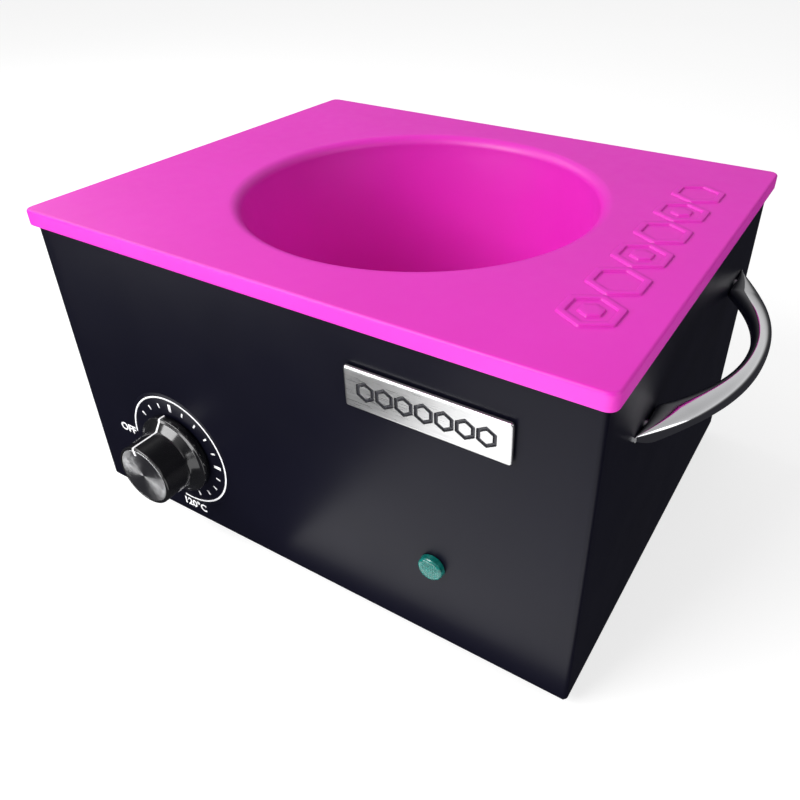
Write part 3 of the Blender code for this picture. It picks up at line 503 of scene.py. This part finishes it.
def soften(node, width):
    """Rounds the edges of a CAD node that stays in view."""
    obj = frame["nodes"][node]
    weld = obj.modifiers.new("weld", "WELD")
    weld.merge_threshold = 0.00001
    bevel = obj.modifiers.new("soft_edges", "BEVEL")
    bevel.width = width
    bevel.segments = 2
    bevel.limit_method = "ANGLE"
    bevel.angle_limit = math.radians(50)


# ---- silicone liner -----------------------------------------------------------------------

def wall_radius(height, offset):
    """Radius of the bowl's flared wall at a height, plus an offset."""
    lip_bottom = RIM_TOP - LIP_DEEP
    share = (height - FILLET_Z) / (lip_bottom - FILLET_Z)
    flare = max(0.0, height - FLARE_START) / (lip_bottom - FLARE_START)
    taper = (BOWL_RADIUS - BOWL_FLOOR_RADIUS) * share
    return BOWL_FLOOR_RADIUS + taper + NECK_FLARE * flare ** 2 + offset


def bowl_profile(top, offset):
    """From the wall's top down to the middle of the floor, as (radius, height) points."""
    points = []
    wall_steps = 16
    for i in range(wall_steps + 1):
        height = top + (FILLET_Z - top) * i / wall_steps
        points.append((wall_radius(height, offset), height))
    centre = (BOWL_FLOOR_RADIUS - BOWL_FILLET, FILLET_Z)
    points += arc(centre, BOWL_FILLET + offset, 0, -90, 14)[1:]
    floor = BOWL_FLOOR - offset
    for share in (0.75, 0.45, 0.18):
        points.append(((BOWL_FLOOR_RADIUS - BOWL_FILLET) * share, floor))
    return points


def make_liner():
    """One moulding: the bowl, its soft lip, the flat rim and the skirt round the casing."""
    half_x = LINER_HIGH.x
    half_y = (LINER_HIGH.y - LINER_LOW.y) / 2
    centre = (0, CENTRE_Y)

    def rim(inset, z):
        radius = max(RIM_CORNER - inset, 0.0006)
        return rectangle_ring(half_x - inset, half_y - inset, radius, z, centre)

    guide = rim(0, RIM_TOP)
    inside = bowl_profile(RIM_TOP - LIP_DEEP, 0)
    rings = [circle_ring(guide, radius, z, centre) for radius, z in reversed(inside)]
    neck = BOWL_RADIUS + NECK_FLARE
    lip_steps = 14
    for i in range(1, lip_steps + 1):
        angle = math.pi / 2 * i / lip_steps
        radius = neck + LIP_ACROSS * (1 - math.cos(angle))
        z = RIM_TOP - LIP_DEEP * (1 - math.sin(angle))
        rings.append(circle_ring(guide, radius, z, centre))
    flat_start = circle_ring(guide, neck + LIP_ACROSS + 0.0012, RIM_TOP, centre)
    flat_end = rim(RIM_EDGE + SUPPORT, RIM_TOP)
    for share in (0, 0.3, 0.65, 1):
        rings.append(blend_rings(flat_start, flat_end, share))
    for across, up in arc((RIM_EDGE, RIM_TOP - RIM_EDGE), RIM_EDGE, 90, 180, 5):
        rings.append(rim(across, up))
    rings.append(rim(0, RIM_TOP - RIM_EDGE - SUPPORT))
    low = RIM_TOP - LINER_SKIRT_HEIGHT
    foot = 0.0006
    rings.append(rim(0, low + foot + SUPPORT))
    for across, up in arc((foot, low + foot), foot, 180, 270, 3):
        rings.append(rim(across, up))
    for across, up in arc((LINER_SKIRT - foot, low + foot), foot, -90, 0, 3):
        rings.append(rim(across, up))
    under = RIM_TOP - SILICONE
    rings.append(rim(LINER_SKIRT, under - SUPPORT))
    rings.append(rim(LINER_SKIRT, under))
    rings.append(rim(LINER_SKIRT + SUPPORT, under))
    bowl_top = circle_ring(guide, wall_radius(under, SILICONE), under, centre)
    for share in (0.35, 0.7):
        rings.append(blend_rings(rings[-1], bowl_top, share))
    outside = bowl_profile(under - 0.0004, SILICONE)
    rings += [circle_ring(guide, radius, z, centre) for radius, z in outside]
    new_piece("liner_moulding", loft(rings, caps=True), "pink_silicone", "liner",
              replaces=("silicone_liner",))


def hexagon(radius, z, centre=(0, 0), turn=0.0, corner=0.0006, steps=3):
    """A hexagon with rounded corners, as a ring of points; radius is to its corners."""
    points = []
    flat = radius * math.cos(math.pi / 6)
    inner = (flat - corner) / math.cos(math.pi / 6)
    for i in range(6):
        middle = 60 * i + turn
        cx = centre[0] + inner * math.cos(math.radians(middle))
        cy = centre[1] + inner * math.sin(math.radians(middle))
        points += arc((cx, cy), corner, middle - 30, middle + 30, steps)
    return [Vector((x, y, z)) for x, y in points]


def relief_flank(radius, side, base):
    """One flank of a raised hexagon from its flared foot to its top, as (radius, z) points.

    side is 1 for an outside flank and -1 for an inside one.
    """
    shoulder = 0.00035
    steps = [(0.0004, -0.0003), (0.0003, 0.00002), (0.0001, 0.0001), (0, RELIEF - shoulder),
             (-shoulder * 0.3, RELIEF - shoulder * 0.3), (-shoulder, RELIEF)]
    return [(radius + side * across, base + up) for across, up in steps]


def raised_hexagon(flanks, centre, closed):
    """Soft-cornered hexagons through the given (radius, z) points; closed makes a hollow cell."""
    rings = []
    for radius, z in flanks:
        rings.append(hexagon(radius, z, centre, turn=30, corner=max(0.0008, radius * 0.12)))
    return loft(rings, closed=closed, caps=not closed)


def make_liner_relief():
    """A row of honeycomb cells on the right of the rim, every other one with a solid core."""
    count = 6
    pitch = 0.0248
    outer = 0.0120
    inner = 0.0088
    core = 0.0048
    middle_x = 0.1080
    middle_y = CENTRE_Y - 0.0040
    for i in range(count):
        centre = (middle_x, middle_y + (i - (count - 1) / 2) * pitch)
        flanks = [*relief_flank(outer, 1, RIM_TOP), *reversed(relief_flank(inner, -1, RIM_TOP))]
        new_piece(f"liner_cell_{i + 1}", raised_hexagon(flanks, centre, True), "pink_silicone",
                  "liner")
        if i % 2 == 0:
            flanks = [*relief_flank(core, 1, RIM_TOP), (core / 2, RIM_TOP + RELIEF)]
            new_piece(f"liner_core_{i + 1}", raised_hexagon(flanks, centre, False),
                      "pink_silicone", "liner")


# ---- casing, well and underside -----------------------------------------------------------

def make_casing():
    """One folded sheet: four walls, a fold along the bottom and a return flange under it."""
    low = CASING_LOW.z
    high = CASING_HIGH.z
    corner = 0.0020
    profile = rounded([
        (0, low, 0.0016),
        (0, high, 0.0002),
        (STEEL, high, 0.0002),
        (STEEL, low + STEEL, 0.0004),
        (RETURN_FLANGE, low + STEEL, 0.0002),
        (RETURN_FLANGE, low, 0.0002),
    ], closed=True, steps=4, support=0.0002)
    rings = []
    for inset, z in profile:
        radius = max(corner - inset, 0.0005)
        ring = rectangle_ring(SIDE - inset, HALF_DEPTH - inset, radius, z, (0, CENTRE_Y))
        rings.append(ring)
    casing = new_piece("casing_shell", loft(rings, closed=True), "black_steel", "warmer",
                       replaces=("outer_casing",))
    holes = [cutter(cylinder(PANEL_HOLE, -0.01, 0.01), place, TO_FRONT) for place in (DIAL, LAMP)]
    inlet_low, inlet_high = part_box("power_inlet")
    middle = (inlet_low + inlet_high) / 2
    wide, tall = INLET_HOLE
    holes.append(cutter(block((wide, 0.01, tall)), (middle.x, BACK, middle.z)))
    cut(casing, *holes)


def make_well():
    """The spun aluminium well that the liner drops into."""
    clearance = SILICONE + WELL_CLEARANCE
    wall = clearance + WELL_WALL
    top = WELL_HIGH.z
    under = top - WELL_FLANGE
    flange = WELL_HIGH.x
    roll_z = top - WELL_ROLL
    inside = [(0, BOWL_FLOOR - clearance), *reversed(bowl_profile(roll_z, clearance))]
    roll = arc((wall_radius(top, clearance) + WELL_ROLL, roll_z), WELL_ROLL, 180, 90, 4)
    rim = rounded([(roll[-1][0], top, 0), (flange, top, 0.0003), (flange, under, 0.0003),
                   (wall_radius(under, wall), under, 0)], steps=3, support=0.0002)
    outside = [*bowl_profile(under - 0.0002, wall), (0, BOWL_FLOOR - wall)]
    profile = [*inside, *roll[1:], *rim[1:-1], *outside]
    new_piece("well_spinning", lathe(profile), "aluminium", "warmer", (0, CENTRE_Y, 0),
              replaces=("heating_well",))


def make_feet():
    for name in ("front_left", "front_right", "back_left", "back_right"):
        low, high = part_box(f"foot_{name}")
        place = ((low.x + high.x) / 2, (low.y + high.y) / 2, 0)
        profile = rounded([
            (0, 0.0072, 0),
            (0.0030, 0.0072, 0.0005),
            (0.0030, 0.0042, 0.0003),
            (0.0090, 0.0042, 0.0005),
            (0.0082, 0, 0.0007),
            (0.0052, 0, 0.0005),
            (0.0046, 0.0012, 0.0003),
            (0, 0.0012, 0),
        ], steps=4, support=0.0001)
        new_piece(f"rubber_foot_{name}", lathe(profile, 64), "rubber", "warmer", place,
                  replaces=(f"foot_{name}",))


def pan_screw(name, node, radius, height, rotation, seat, length):
    """A pan-head screw with a cross recess; seat is where its head's underside rests.

    radius and height are the head's, length is the shank's.
    """
    shank = 0.0015
    profile = rounded([
        (0, height, 0),
        (radius * 0.75, height, radius * 0.5),
        (radius, height * 0.30, radius * 0.10),
        (radius, 0, 0.0001),
        (shank, 0, 0),
        (shank, -length, 0),
        (0, -length, 0),
    ], steps=5, support=0)
    head = new_piece(name, lathe(profile, 48), "zinc_steel", "warmer", seat, rotation,
                     replaces=(node,))
    bar = radius * 1.15
    slot, deep = 0.0006, 0.0011
    place = (0, 0, height)
    turned = Matrix.LocRotScale(Vector(seat), head.rotation_euler, None)
    tools = []
    for size in ((bar, slot, deep), (slot, bar, deep)):
        tool = cutter(block(size, place))
        tool.matrix_world = turned
        tools.append(tool)
    bpy.context.view_layer.update()
    cut(head, *tools)


def make_screws():
    radius, height, length = 0.0032, 0.0018, 0.0070
    for name in ("front_left", "front_right", "back_left", "back_right"):
        low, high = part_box(f"base_screw_{name}")
        seat = ((low.x + high.x) / 2, (low.y + high.y) / 2, low.z + height)
        pan_screw(f"base_fixing_{name}", f"base_screw_{name}", radius, height, DOWN, seat, length)
    radius, height = 0.0028, 0.0016
    for name in ("left", "right"):
        low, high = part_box(f"inlet_screw_{name}")
        seat = ((low.x + high.x) / 2, high.y - height, (low.z + high.z) / 2)
        pan_screw(f"inlet_fixing_{name}", f"inlet_screw_{name}", radius, height, TO_BACK, seat,
                  length)


# ---- dial and knob ------------------------------------------------------------------------

def annulus_sector(inner, outer, start, end, low, high, steps):
    """A flat curved bar between two radii; angles in degrees about local Z."""
    rings = []
    for i in range(steps + 1):
        angle = math.radians(start + (end - start) * i / steps)
        direction = Vector((math.cos(angle), math.sin(angle), 0))
        corners = [(inner, low), (outer, low), (outer, high), (inner, high)]
        rings.append([direction * radius + Vector((0, 0, z)) for radius, z in corners])
    return loft(rings, caps=True)


def print_text(name, text, size, centre):
    """Generic scale lettering, as a thin raised mesh in the panel's plane."""
    proud = 0.00020
    curve = bpy.data.curves.new(name, "FONT")
    curve.body = text
    curve.size = size
    curve.align_x = "CENTER"
    curve.align_y = "CENTER"
    curve.extrude = 0.00003
    curve.offset = 0.00017
    guide = bpy.data.objects.new(name + "_guide", curve)
    bpy.context.scene.collection.objects.link(guide)
    mesh = bpy.data.meshes.new_from_object(guide.evaluated_get(
        bpy.context.evaluated_depsgraph_get()))
    bpy.data.objects.remove(guide, do_unlink=True)
    bm = bmesh.new()
    bm.from_mesh(mesh)
    bmesh.ops.remove_doubles(bm, verts=bm.verts, dist=0.000005)
    place = (DIAL.x + centre[0], FRONT - proud, DIAL.z + centre[1])
    piece = new_piece(name, bm, "white_print", "warmer", place, TO_FRONT)
    piece.data.set_sharp_from_angle(angle=math.radians(30))


def make_dial():
    """A black foil with a printed ring, ticks and its two generic end labels."""
    foil = 0.00014
    ink = foil + 0.00005
    bed = foil - 0.00005
    back = 0.00004
    radius = DIAL_HIGH.x - DIAL.x
    disc = [(0, foil), (radius * 0.5, foil), (radius - 0.00006, foil), (radius, bed),
            (radius, back), (0, back)]
    new_piece("scale_foil", lathe(disc, 160), "dial_print", "warmer", DIAL, TO_FRONT,
              replaces=("dial_scale",))
    line = 0.00045
    start, end = 180, -97
    ring = annulus_sector(RING_RADIUS - line, RING_RADIUS + line, start, end, bed, ink, 160)
    new_piece("scale_ring", ring, "white_print", "warmer", DIAL, TO_FRONT)
    step = 18
    for i in range(2, 15):
        angle = start - step * i
        major = i % 5 == 0
        length = 0.0042 if major else 0.0025
        width = 0.0017 if major else 0.0009
        spread = math.degrees(width / 2 / TICK_RADIUS)
        tick = annulus_sector(TICK_RADIUS - length / 2, TICK_RADIUS + length / 2, angle - spread,
                              angle + spread, bed, ink, 4)
        new_piece(f"scale_tick_{i}", tick, "white_print", "warmer", DIAL, TO_FRONT)
    label_size = 0.0060
    print_text("scale_label_off", "OFF", label_size, (-0.0354, -0.0009))
    print_text("scale_label_max", "120°C", label_size, (0.0021, -0.0331))


def knob_surface():
    """The knob's outside from its face to its skirt, as (radius, reach) corners."""
    return [
        (KNOB_RADIUS, KNOB_REACH, 0.0007),
        (KNOB_RADIUS, 0.0080, 0.0012),
        (0.0161, 0.0071, 0.0004),
        (0.0185, 0.0050, 0.0006),
        (KNOB_SKIRT_RADIUS, 0.0043, 0.0005),
        (KNOB_SKIRT_RADIUS, KNOB_SKIRT_BACK, 0),
    ]


def make_knob():
    seat = KNOB_REACH - CAP_SEAT
    recess = CAP_RADIUS + 0.00015
    profile = rounded([
        (0, seat, 0),
        (recess, seat, 0.0001),
        (recess, KNOB_REACH, 0.0002),
        *knob_surface(),
        (KNOB_SKIRT_RADIUS - 0.0012, KNOB_SKIRT_BACK, 0.0003),
        (KNOB_SKIRT_RADIUS - 0.0014, KNOB_HOLLOW, 0.0005),
        (SHAFT_BORE, KNOB_HOLLOW, 0.0002),
        (SHAFT_BORE, BORE_END, 0),
        (0, BORE_END, 0),
    ], steps=5, support=0.00015)
    new_piece("knob_moulding", lathe(profile), "knob_black", "knob", DIAL, TO_FRONT,
              replaces=("knob_body",))
    face = KNOB_REACH - 0.00005
    cap_back = seat + 0.00005
    cap = rounded([(0, face, 0), (CAP_RADIUS, face, 0.00018), (CAP_RADIUS, cap_back, 0),
                   (0, cap_back, 0)], steps=3, support=0.0001)
    spread = [(CAP_RADIUS * share, face) for share in (0.02, 0.25, 0.5, 0.75)]
    new_piece("knob_face", lathe([cap[0], *spread, *cap[1:]]), "spun_aluminium", "knob", DIAL,
              TO_FRONT, replaces=("knob_cap",))


def make_pointer():
    """A white line that runs from the skirt up the knob's side and just onto its face."""
    end = 0.0112
    path = rounded([(end, KNOB_REACH, 0), *knob_surface()], steps=5, support=0)
    half = 0.00058
    proud = 0.00012
    deep = 0.0004
    rings = []
    for i, point in enumerate(path):
        along = (path[min(i + 1, len(path) - 1)] - path[max(i - 1, 0)]).normalized()
        out = Vector((-along.y, along.x))
        top = point + out * proud
        bed = point - out * deep
        crown = point + out * (proud - 0.0001)
        rings.append([Vector((bed.x, -half, bed.y)), Vector((crown.x, -half, crown.y)),
                      Vector((top.x, -half * 0.75, top.y)), Vector((top.x, half * 0.75, top.y)),
                      Vector((crown.x, half, crown.y)), Vector((bed.x, half, bed.y))])
    piece = new_piece("knob_line", loft(rings, caps=True), "white_print", "knob",
                      replaces=("knob_pointer",))
    place = Matrix.Translation(DIAL) @ Matrix.Rotation(math.pi / 2, 4, "X")
    piece.matrix_world = place @ Matrix.Rotation(POINTER_ANGLE, 4, "Z")
    piece.data.set_sharp_from_angle(angle=math.radians(40))


# ---- lamp and badge -----------------------------------------------------------------------

def dome(radius):
    """Height of the lens's face at a distance from its middle; it sags by 0.6 mm at 4.5 mm."""
    return LENS_CROWN - 0.0006 * (radius / 0.0045) ** 2


def make_lens():
    """A green lens: a smooth rim round a face of small moulded pyramids."""
    bed = [LENS_FACE * share for share in (0, 0.3, 0.6, 0.9)]
    face = [(radius, dome(radius) - 0.0002) for radius in bed]
    rim = rounded([(LENS_FACE, 0.0032, 0), (0.0053, 0.0025, 0.0006),
                   (LENS_RADIUS, 0.0006, 0.0006), (LENS_RADIUS, 0.0003, 0),
                   (LENS_FACE, 0.0003, 0), (LENS_FACE, -0.0060, 0), (0, -0.0060, 0)],
                  steps=5, support=0.0001)
    new_piece("lens_body", lathe([*face, *rim], 64), "green_lens", "warmer", LAMP, TO_FRONT,
              replaces=("lamp_lens",))
    bm = bmesh.new()
    half_count = 40
    cell = LENS_FACE / half_count
    pitch = 0.00075
    pyramid = 0.0004
    border = 0.0006
    grid = {}
    for i in range(-half_count, half_count + 1):
        for j in range(-half_count, half_count + 1):
            x, y = i * cell, j * cell
            radius = math.hypot(x, y)
            if radius > LENS_FACE:
                continue
            peak_x = abs((x / pitch) % 1 - 0.5)
            peak_y = abs((y / pitch) % 1 - 0.5)
            fade = min(1.0, max(0.0, (LENS_FACE - radius) / border))
            height = dome(radius) - pyramid * (peak_x + peak_y) * fade - 0.0003 * (1 - fade)
            grid[i, j] = bm.verts.new((x, y, height))
    for i, j in list(grid):
        corners = [(i, j), (i + 1, j), (i + 1, j + 1), (i, j + 1)]
        if all(corner in grid for corner in corners):
            bm.faces.new([grid[corner] for corner in corners])
    piece = new_piece("lens_facets", bm, "green_lens", "warmer", LAMP, TO_FRONT)
    piece.data.set_sharp_from_angle(angle=math.radians(12))


def hexagon_groove(outer, inner, low, high, x):
    """A hexagonal ring between two heights."""
    rings = []
    for radius, z in [(outer, low), (outer, high), (inner, high), (inner, low)]:
        rings.append(hexagon(radius, z, (x, 0), turn=30, corner=0.0004))
    return loft(rings, closed=True)


def make_badge():
    """A brushed plate with a row of recessed, painted honeycomb cells."""
    middle = (BADGE_LOW + BADGE_HIGH) / 2
    half_x = (BADGE_HIGH.x - BADGE_LOW.x) / 2
    half_z = (BADGE_HIGH.z - BADGE_LOW.z) / 2
    thickness = BADGE_HIGH.y - BADGE_LOW.y
    place = (middle.x, BADGE_HIGH.y, middle.z)

    def outline(inset, z):
        radius = max(0.0011 - inset, 0.0004)
        return rectangle_ring(half_x - inset, half_z - inset, radius, z, side_steps=2)

    badge = new_piece("badge_plate", plate(outline, 0, thickness, 0.0008), "badge_metal", "warmer",
                      place, TO_FRONT, replaces=("name_badge",))
    count = 7
    pitch = 0.0080
    deep = 0.0005
    outer = 0.0044
    inner = 0.0026
    slack = 0.00002
    bed = thickness - deep
    tools = []
    for i in range(count):
        x = (i - (count - 1) / 2) * pitch
        groove = hexagon_groove(outer, inner, bed, thickness + 0.001, x)
        tools.append(cutter(groove, place, TO_FRONT))
        paint = hexagon_groove(outer - slack, inner + slack, bed - 0.0001, bed + 0.00008, x)
        new_piece(f"badge_paint_{i + 1}", paint, "badge_metal", "warmer", place, TO_FRONT,
                  material=INLAY)
    cut(badge, *tools)


# ---- handles and inlet --------------------------------------------------------------------

def bow(along, half_span, reach):
    """How far a face of the strap stands off the casing at a place along it."""
    return reach * max(0.0, 1 - abs(along / half_span) ** HANDLE_CURVE)


def handle_section(along):
    """One section of the strap, a squared oval that gets lower and thinner towards its tips."""
    outer = max(bow(along, HANDLE_HALF_SPAN, HANDLE_REACH), 0.0006)
    inner = bow(along, HANDLE_INNER_HALF_SPAN, HANDLE_REACH - HANDLE_THICKNESS) - GAP
    half_width = (outer - inner) / 2
    top = HANDLE_HEIGHT - HANDLE_DROP * abs(along / HANDLE_HALF_SPAN) ** 2
    foot_reach = 0.0060
    low = 0.75 * top * max(0.0, 1 - outer / foot_reach) ** 1.5
    half_height = (top - low) / 2
    steps = 48
    points = []
    for i in range(steps):
        angle = math.tau * i / steps
        across, up = math.cos(angle), math.sin(angle)
        size = (abs(across) ** HANDLE_SQUARE + abs(up) ** HANDLE_SQUARE) ** (-1 / HANDLE_SQUARE)
        points.append((inner + half_width * (1 + across * size),
                       low + half_height * (1 + up * size)))
    return points


def make_handles():
    stations = 120
    for name, side, turn in (("right", 1, 0), ("left", -1, math.pi)):
        rings = []
        for i in range(stations + 1):
            along = -HANDLE_HALF_SPAN * math.cos(math.pi * i / stations)
            rings.append([Vector((out, along, up)) for out, up in handle_section(along)])
        place = (side * (SIDE + GAP), CENTRE_Y + HANDLE_Y, HANDLE_LOW)
        piece = new_piece(f"handle_casting_{name}", loft(rings, caps=True), "chrome", "warmer",
                          place, (0, 0, turn), replaces=(f"handle_{name}",))
        piece.data.set_sharp_from_angle(angle=math.radians(70))


def make_inlet():
    """The appliance inlet: a bevelled flange round a socket with two cut corners."""
    low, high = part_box("power_inlet")
    middle = (low + high) / 2
    half_x = (high.x - low.x) / 2
    half_z = (high.z - low.z) / 2
    flange = 0.0020
    place = (middle.x, high.y - flange, middle.z)

    def outline(inset, z):
        return rectangle_ring(half_x - inset, half_z - inset, max(0.0040 - inset, 0.001), z,
                              side_steps=2)

    piece = new_piece("inlet_moulding", plate(outline, 0, flange, 0.0005), "inlet_black", "warmer",
                      place, TO_BACK, replaces=("power_inlet",))
    socket = [(-0.0120, -0.0080), (0.0120, -0.0080), (0.0120, 0.0040), (0.0080, 0.0080),
              (-0.0080, 0.0080), (-0.0120, 0.0040)]
    rings = [[Vector((x, -y, z)) for x, y in socket] for z in (-0.01, 0.01)]
    cut(piece, cutter(loft(rings, caps=True), place, TO_BACK))
    walls = []
    back = -INLET_DEPTH - 0.0010
    for size, z in ((1.0, 0.0), (1.0, -INLET_DEPTH), (1.08, back), (1.08, 0.0)):
        walls.append([Vector((x * size, -y * size, z)) for x, y in socket])
    shell = new_piece("inlet_socket", loft(walls, closed=True), "inlet_black", "warmer", place,
                      TO_BACK)
    shell.data.set_sharp_from_angle(angle=math.radians(30))
    floor_heights = (back - 0.0005, 0.0002 - INLET_DEPTH)
    rings = [[Vector((x, -y, z)) for x, y in socket] for z in floor_heights]
    floor = new_piece("inlet_floor", loft(rings, caps=True), "inlet_black", "warmer", place,
                      TO_BACK)
    floor.data.set_sharp_from_angle(angle=math.radians(30))


# ---- carried-over CAD nodes ---------------------------------------------------------------

def finish_cad_nodes():
    """Gives every CAD node that still shows the finish of its material slot."""
    for part in frame["record"]["subparts"]:
        obj = frame["nodes"][part["node"]]
        for slot in obj.material_slots:
            slot.material = FINISHES[part["material_slot"]]
    for node in ("base_plate", "top_deck", "terminal_block", "thermostat_body"):
        soften(node, 0.0003)


# ---- stage --------------------------------------------------------------------------------

def make_floor():
    """White paper that glows a little, so that it stays white around the object."""
    grey = 0.45
    bm = bmesh.new()
    bmesh.ops.create_grid(bm, x_segments=1, y_segments=1, size=30)
    mesh = bpy.data.meshes.new("studio_floor")
    bm.to_mesh(mesh)
    bm.free()
    floor = bpy.data.objects.new("studio_floor", mesh)
    bpy.context.scene.collection.objects.link(floor)
    floor.location = (0, 0, -0.0001)
    paper = new_material("white_paper", (grey,) * 3, 0.9,
                         constants={"Emission Color": (1, 1, 1, 1), "Emission Strength": 0.66})
    vary_colour(paper, noise(paper, 3.0), (grey - 0.005,) * 3, (grey + 0.005,) * 3)
    mesh.materials.append(paper)
    floor.visible_glossy = False
    floor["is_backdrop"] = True


def aim(obj, place, target):
    obj.location = place
    direction = Vector(target) - Vector(place)
    obj.rotation_euler = direction.to_track_quat("-Z", "Y").to_euler()


def area_light(name, place, target, size, radiance):
    """A rectangular softbox of (width, height) size with a set radiance, hidden from view."""
    light = bpy.data.lights.new(name, "AREA")
    light.shape = "RECTANGLE"
    light.size, light.size_y = size
    light.energy = math.pi * radiance * size[0] * size[1]
    lamp = bpy.data.objects.new(name, light)
    bpy.context.scene.collection.objects.link(lamp)
    lamp.visible_camera = False
    aim(lamp, place, target)


def make_sky():
    """A sky that is dark up to the horizon and palest 26 degrees above it.

    The ramp runs from straight down at 0 through the horizon at 0.5 to straight up at 1. The
    camera itself sees plain white.
    """
    world = bpy.data.worlds.new("studio")
    bpy.context.scene.world = world
    world.use_nodes = True
    nodes, links = world.node_tree.nodes, world.node_tree.links
    coordinates = nodes.new("ShaderNodeTexCoord")
    split = nodes.new("ShaderNodeSeparateXYZ")
    height = nodes.new("ShaderNodeMapRange")
    height.inputs["From Min"].default_value = -1.0
    height.inputs["From Max"].default_value = 1.0
    ramp = nodes.new("ShaderNodeValToRGB")
    stops = ramp.color_ramp.elements
    stops[0].position = 0.50
    stops[0].color = (0.03, 0.03, 0.035, 1)
    stops[1].position = 1.0
    stops[1].color = (0.36, 0.36, 0.36, 1)
    for position, grey in ((0.60, 0.10), (0.72, 0.68)):
        stops.new(position).color = (grey, grey, grey, 1)
    links.new(coordinates.outputs["Generated"], split.inputs["Vector"])
    links.new(split.outputs["Z"], height.inputs["Value"])
    links.new(height.outputs["Result"], ramp.inputs["Fac"])
    rays = nodes.new("ShaderNodeLightPath")
    backdrop = nodes.new("ShaderNodeMix")
    backdrop.data_type = "RGBA"
    backdrop.inputs["B"].default_value = (1, 1, 1, 1)
    links.new(rays.outputs["Is Camera Ray"], backdrop.inputs["Factor"])
    links.new(ramp.outputs["Color"], backdrop.inputs["A"])
    links.new(backdrop.outputs["Result"], nodes["Background"].inputs["Color"])


def make_lights():
    area_light("key_softbox", (-0.52, -0.95, 0.88), (0, 0, 0.12), (0.8, 0.8), 8.4)
    area_light("left_softbox", (-0.75, 0.05, 0.75), (0, 0, 0.12), (0.5, 0.5), 3.0)
    area_light("front_strip", (-0.18, -0.54, 0.004), (-0.10, -0.12, 0.15), (0.72, 0.12), 6.0)
    area_light("right_fill", (0.95, -0.05, 0.55), (0.1, 0, 0.12), (0.5, 0.5), 1.4)
    area_light("floor_card", (0.12, -0.23, 0.002), (0.12, -0.23, 1.0), (0.28, 0.24), 1.6)
    make_sky()


def make_camera():
    """The rest view, from the front right and above, through a shifted lens."""
    data = bpy.data.cameras.new("camera")
    data.sensor_width = 36
    data.lens = 34.34
    data.shift_x = -0.0548
    data.shift_y = -0.0302
    data.clip_start = 0.01
    camera = bpy.data.objects.new("camera", data)
    bpy.context.scene.collection.objects.link(camera)
    camera.location = (0.1802, -0.2697, 0.2754)
    camera.rotation_euler = (math.radians(56.153), 0, math.radians(31.208))
    bpy.context.scene.camera = camera


# ---- assembly -----------------------------------------------------------------------------

make_camera()
make_lights()
make_floor()
make_liner()
make_liner_relief()
make_casing()
make_well()
make_feet()
make_screws()
make_dial()
make_knob()
make_pointer()
make_lens()
make_badge()
make_handles()
make_inlet()
finish_cad_nodes()
bpy.context.scene.view_settings.view_transform = "Standard"

visual_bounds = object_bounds()
sizes = {"cad": cad_bounds, "visual": visual_bounds}
{name: [list(corner) for corner in box] for name, box in sizes.items()}
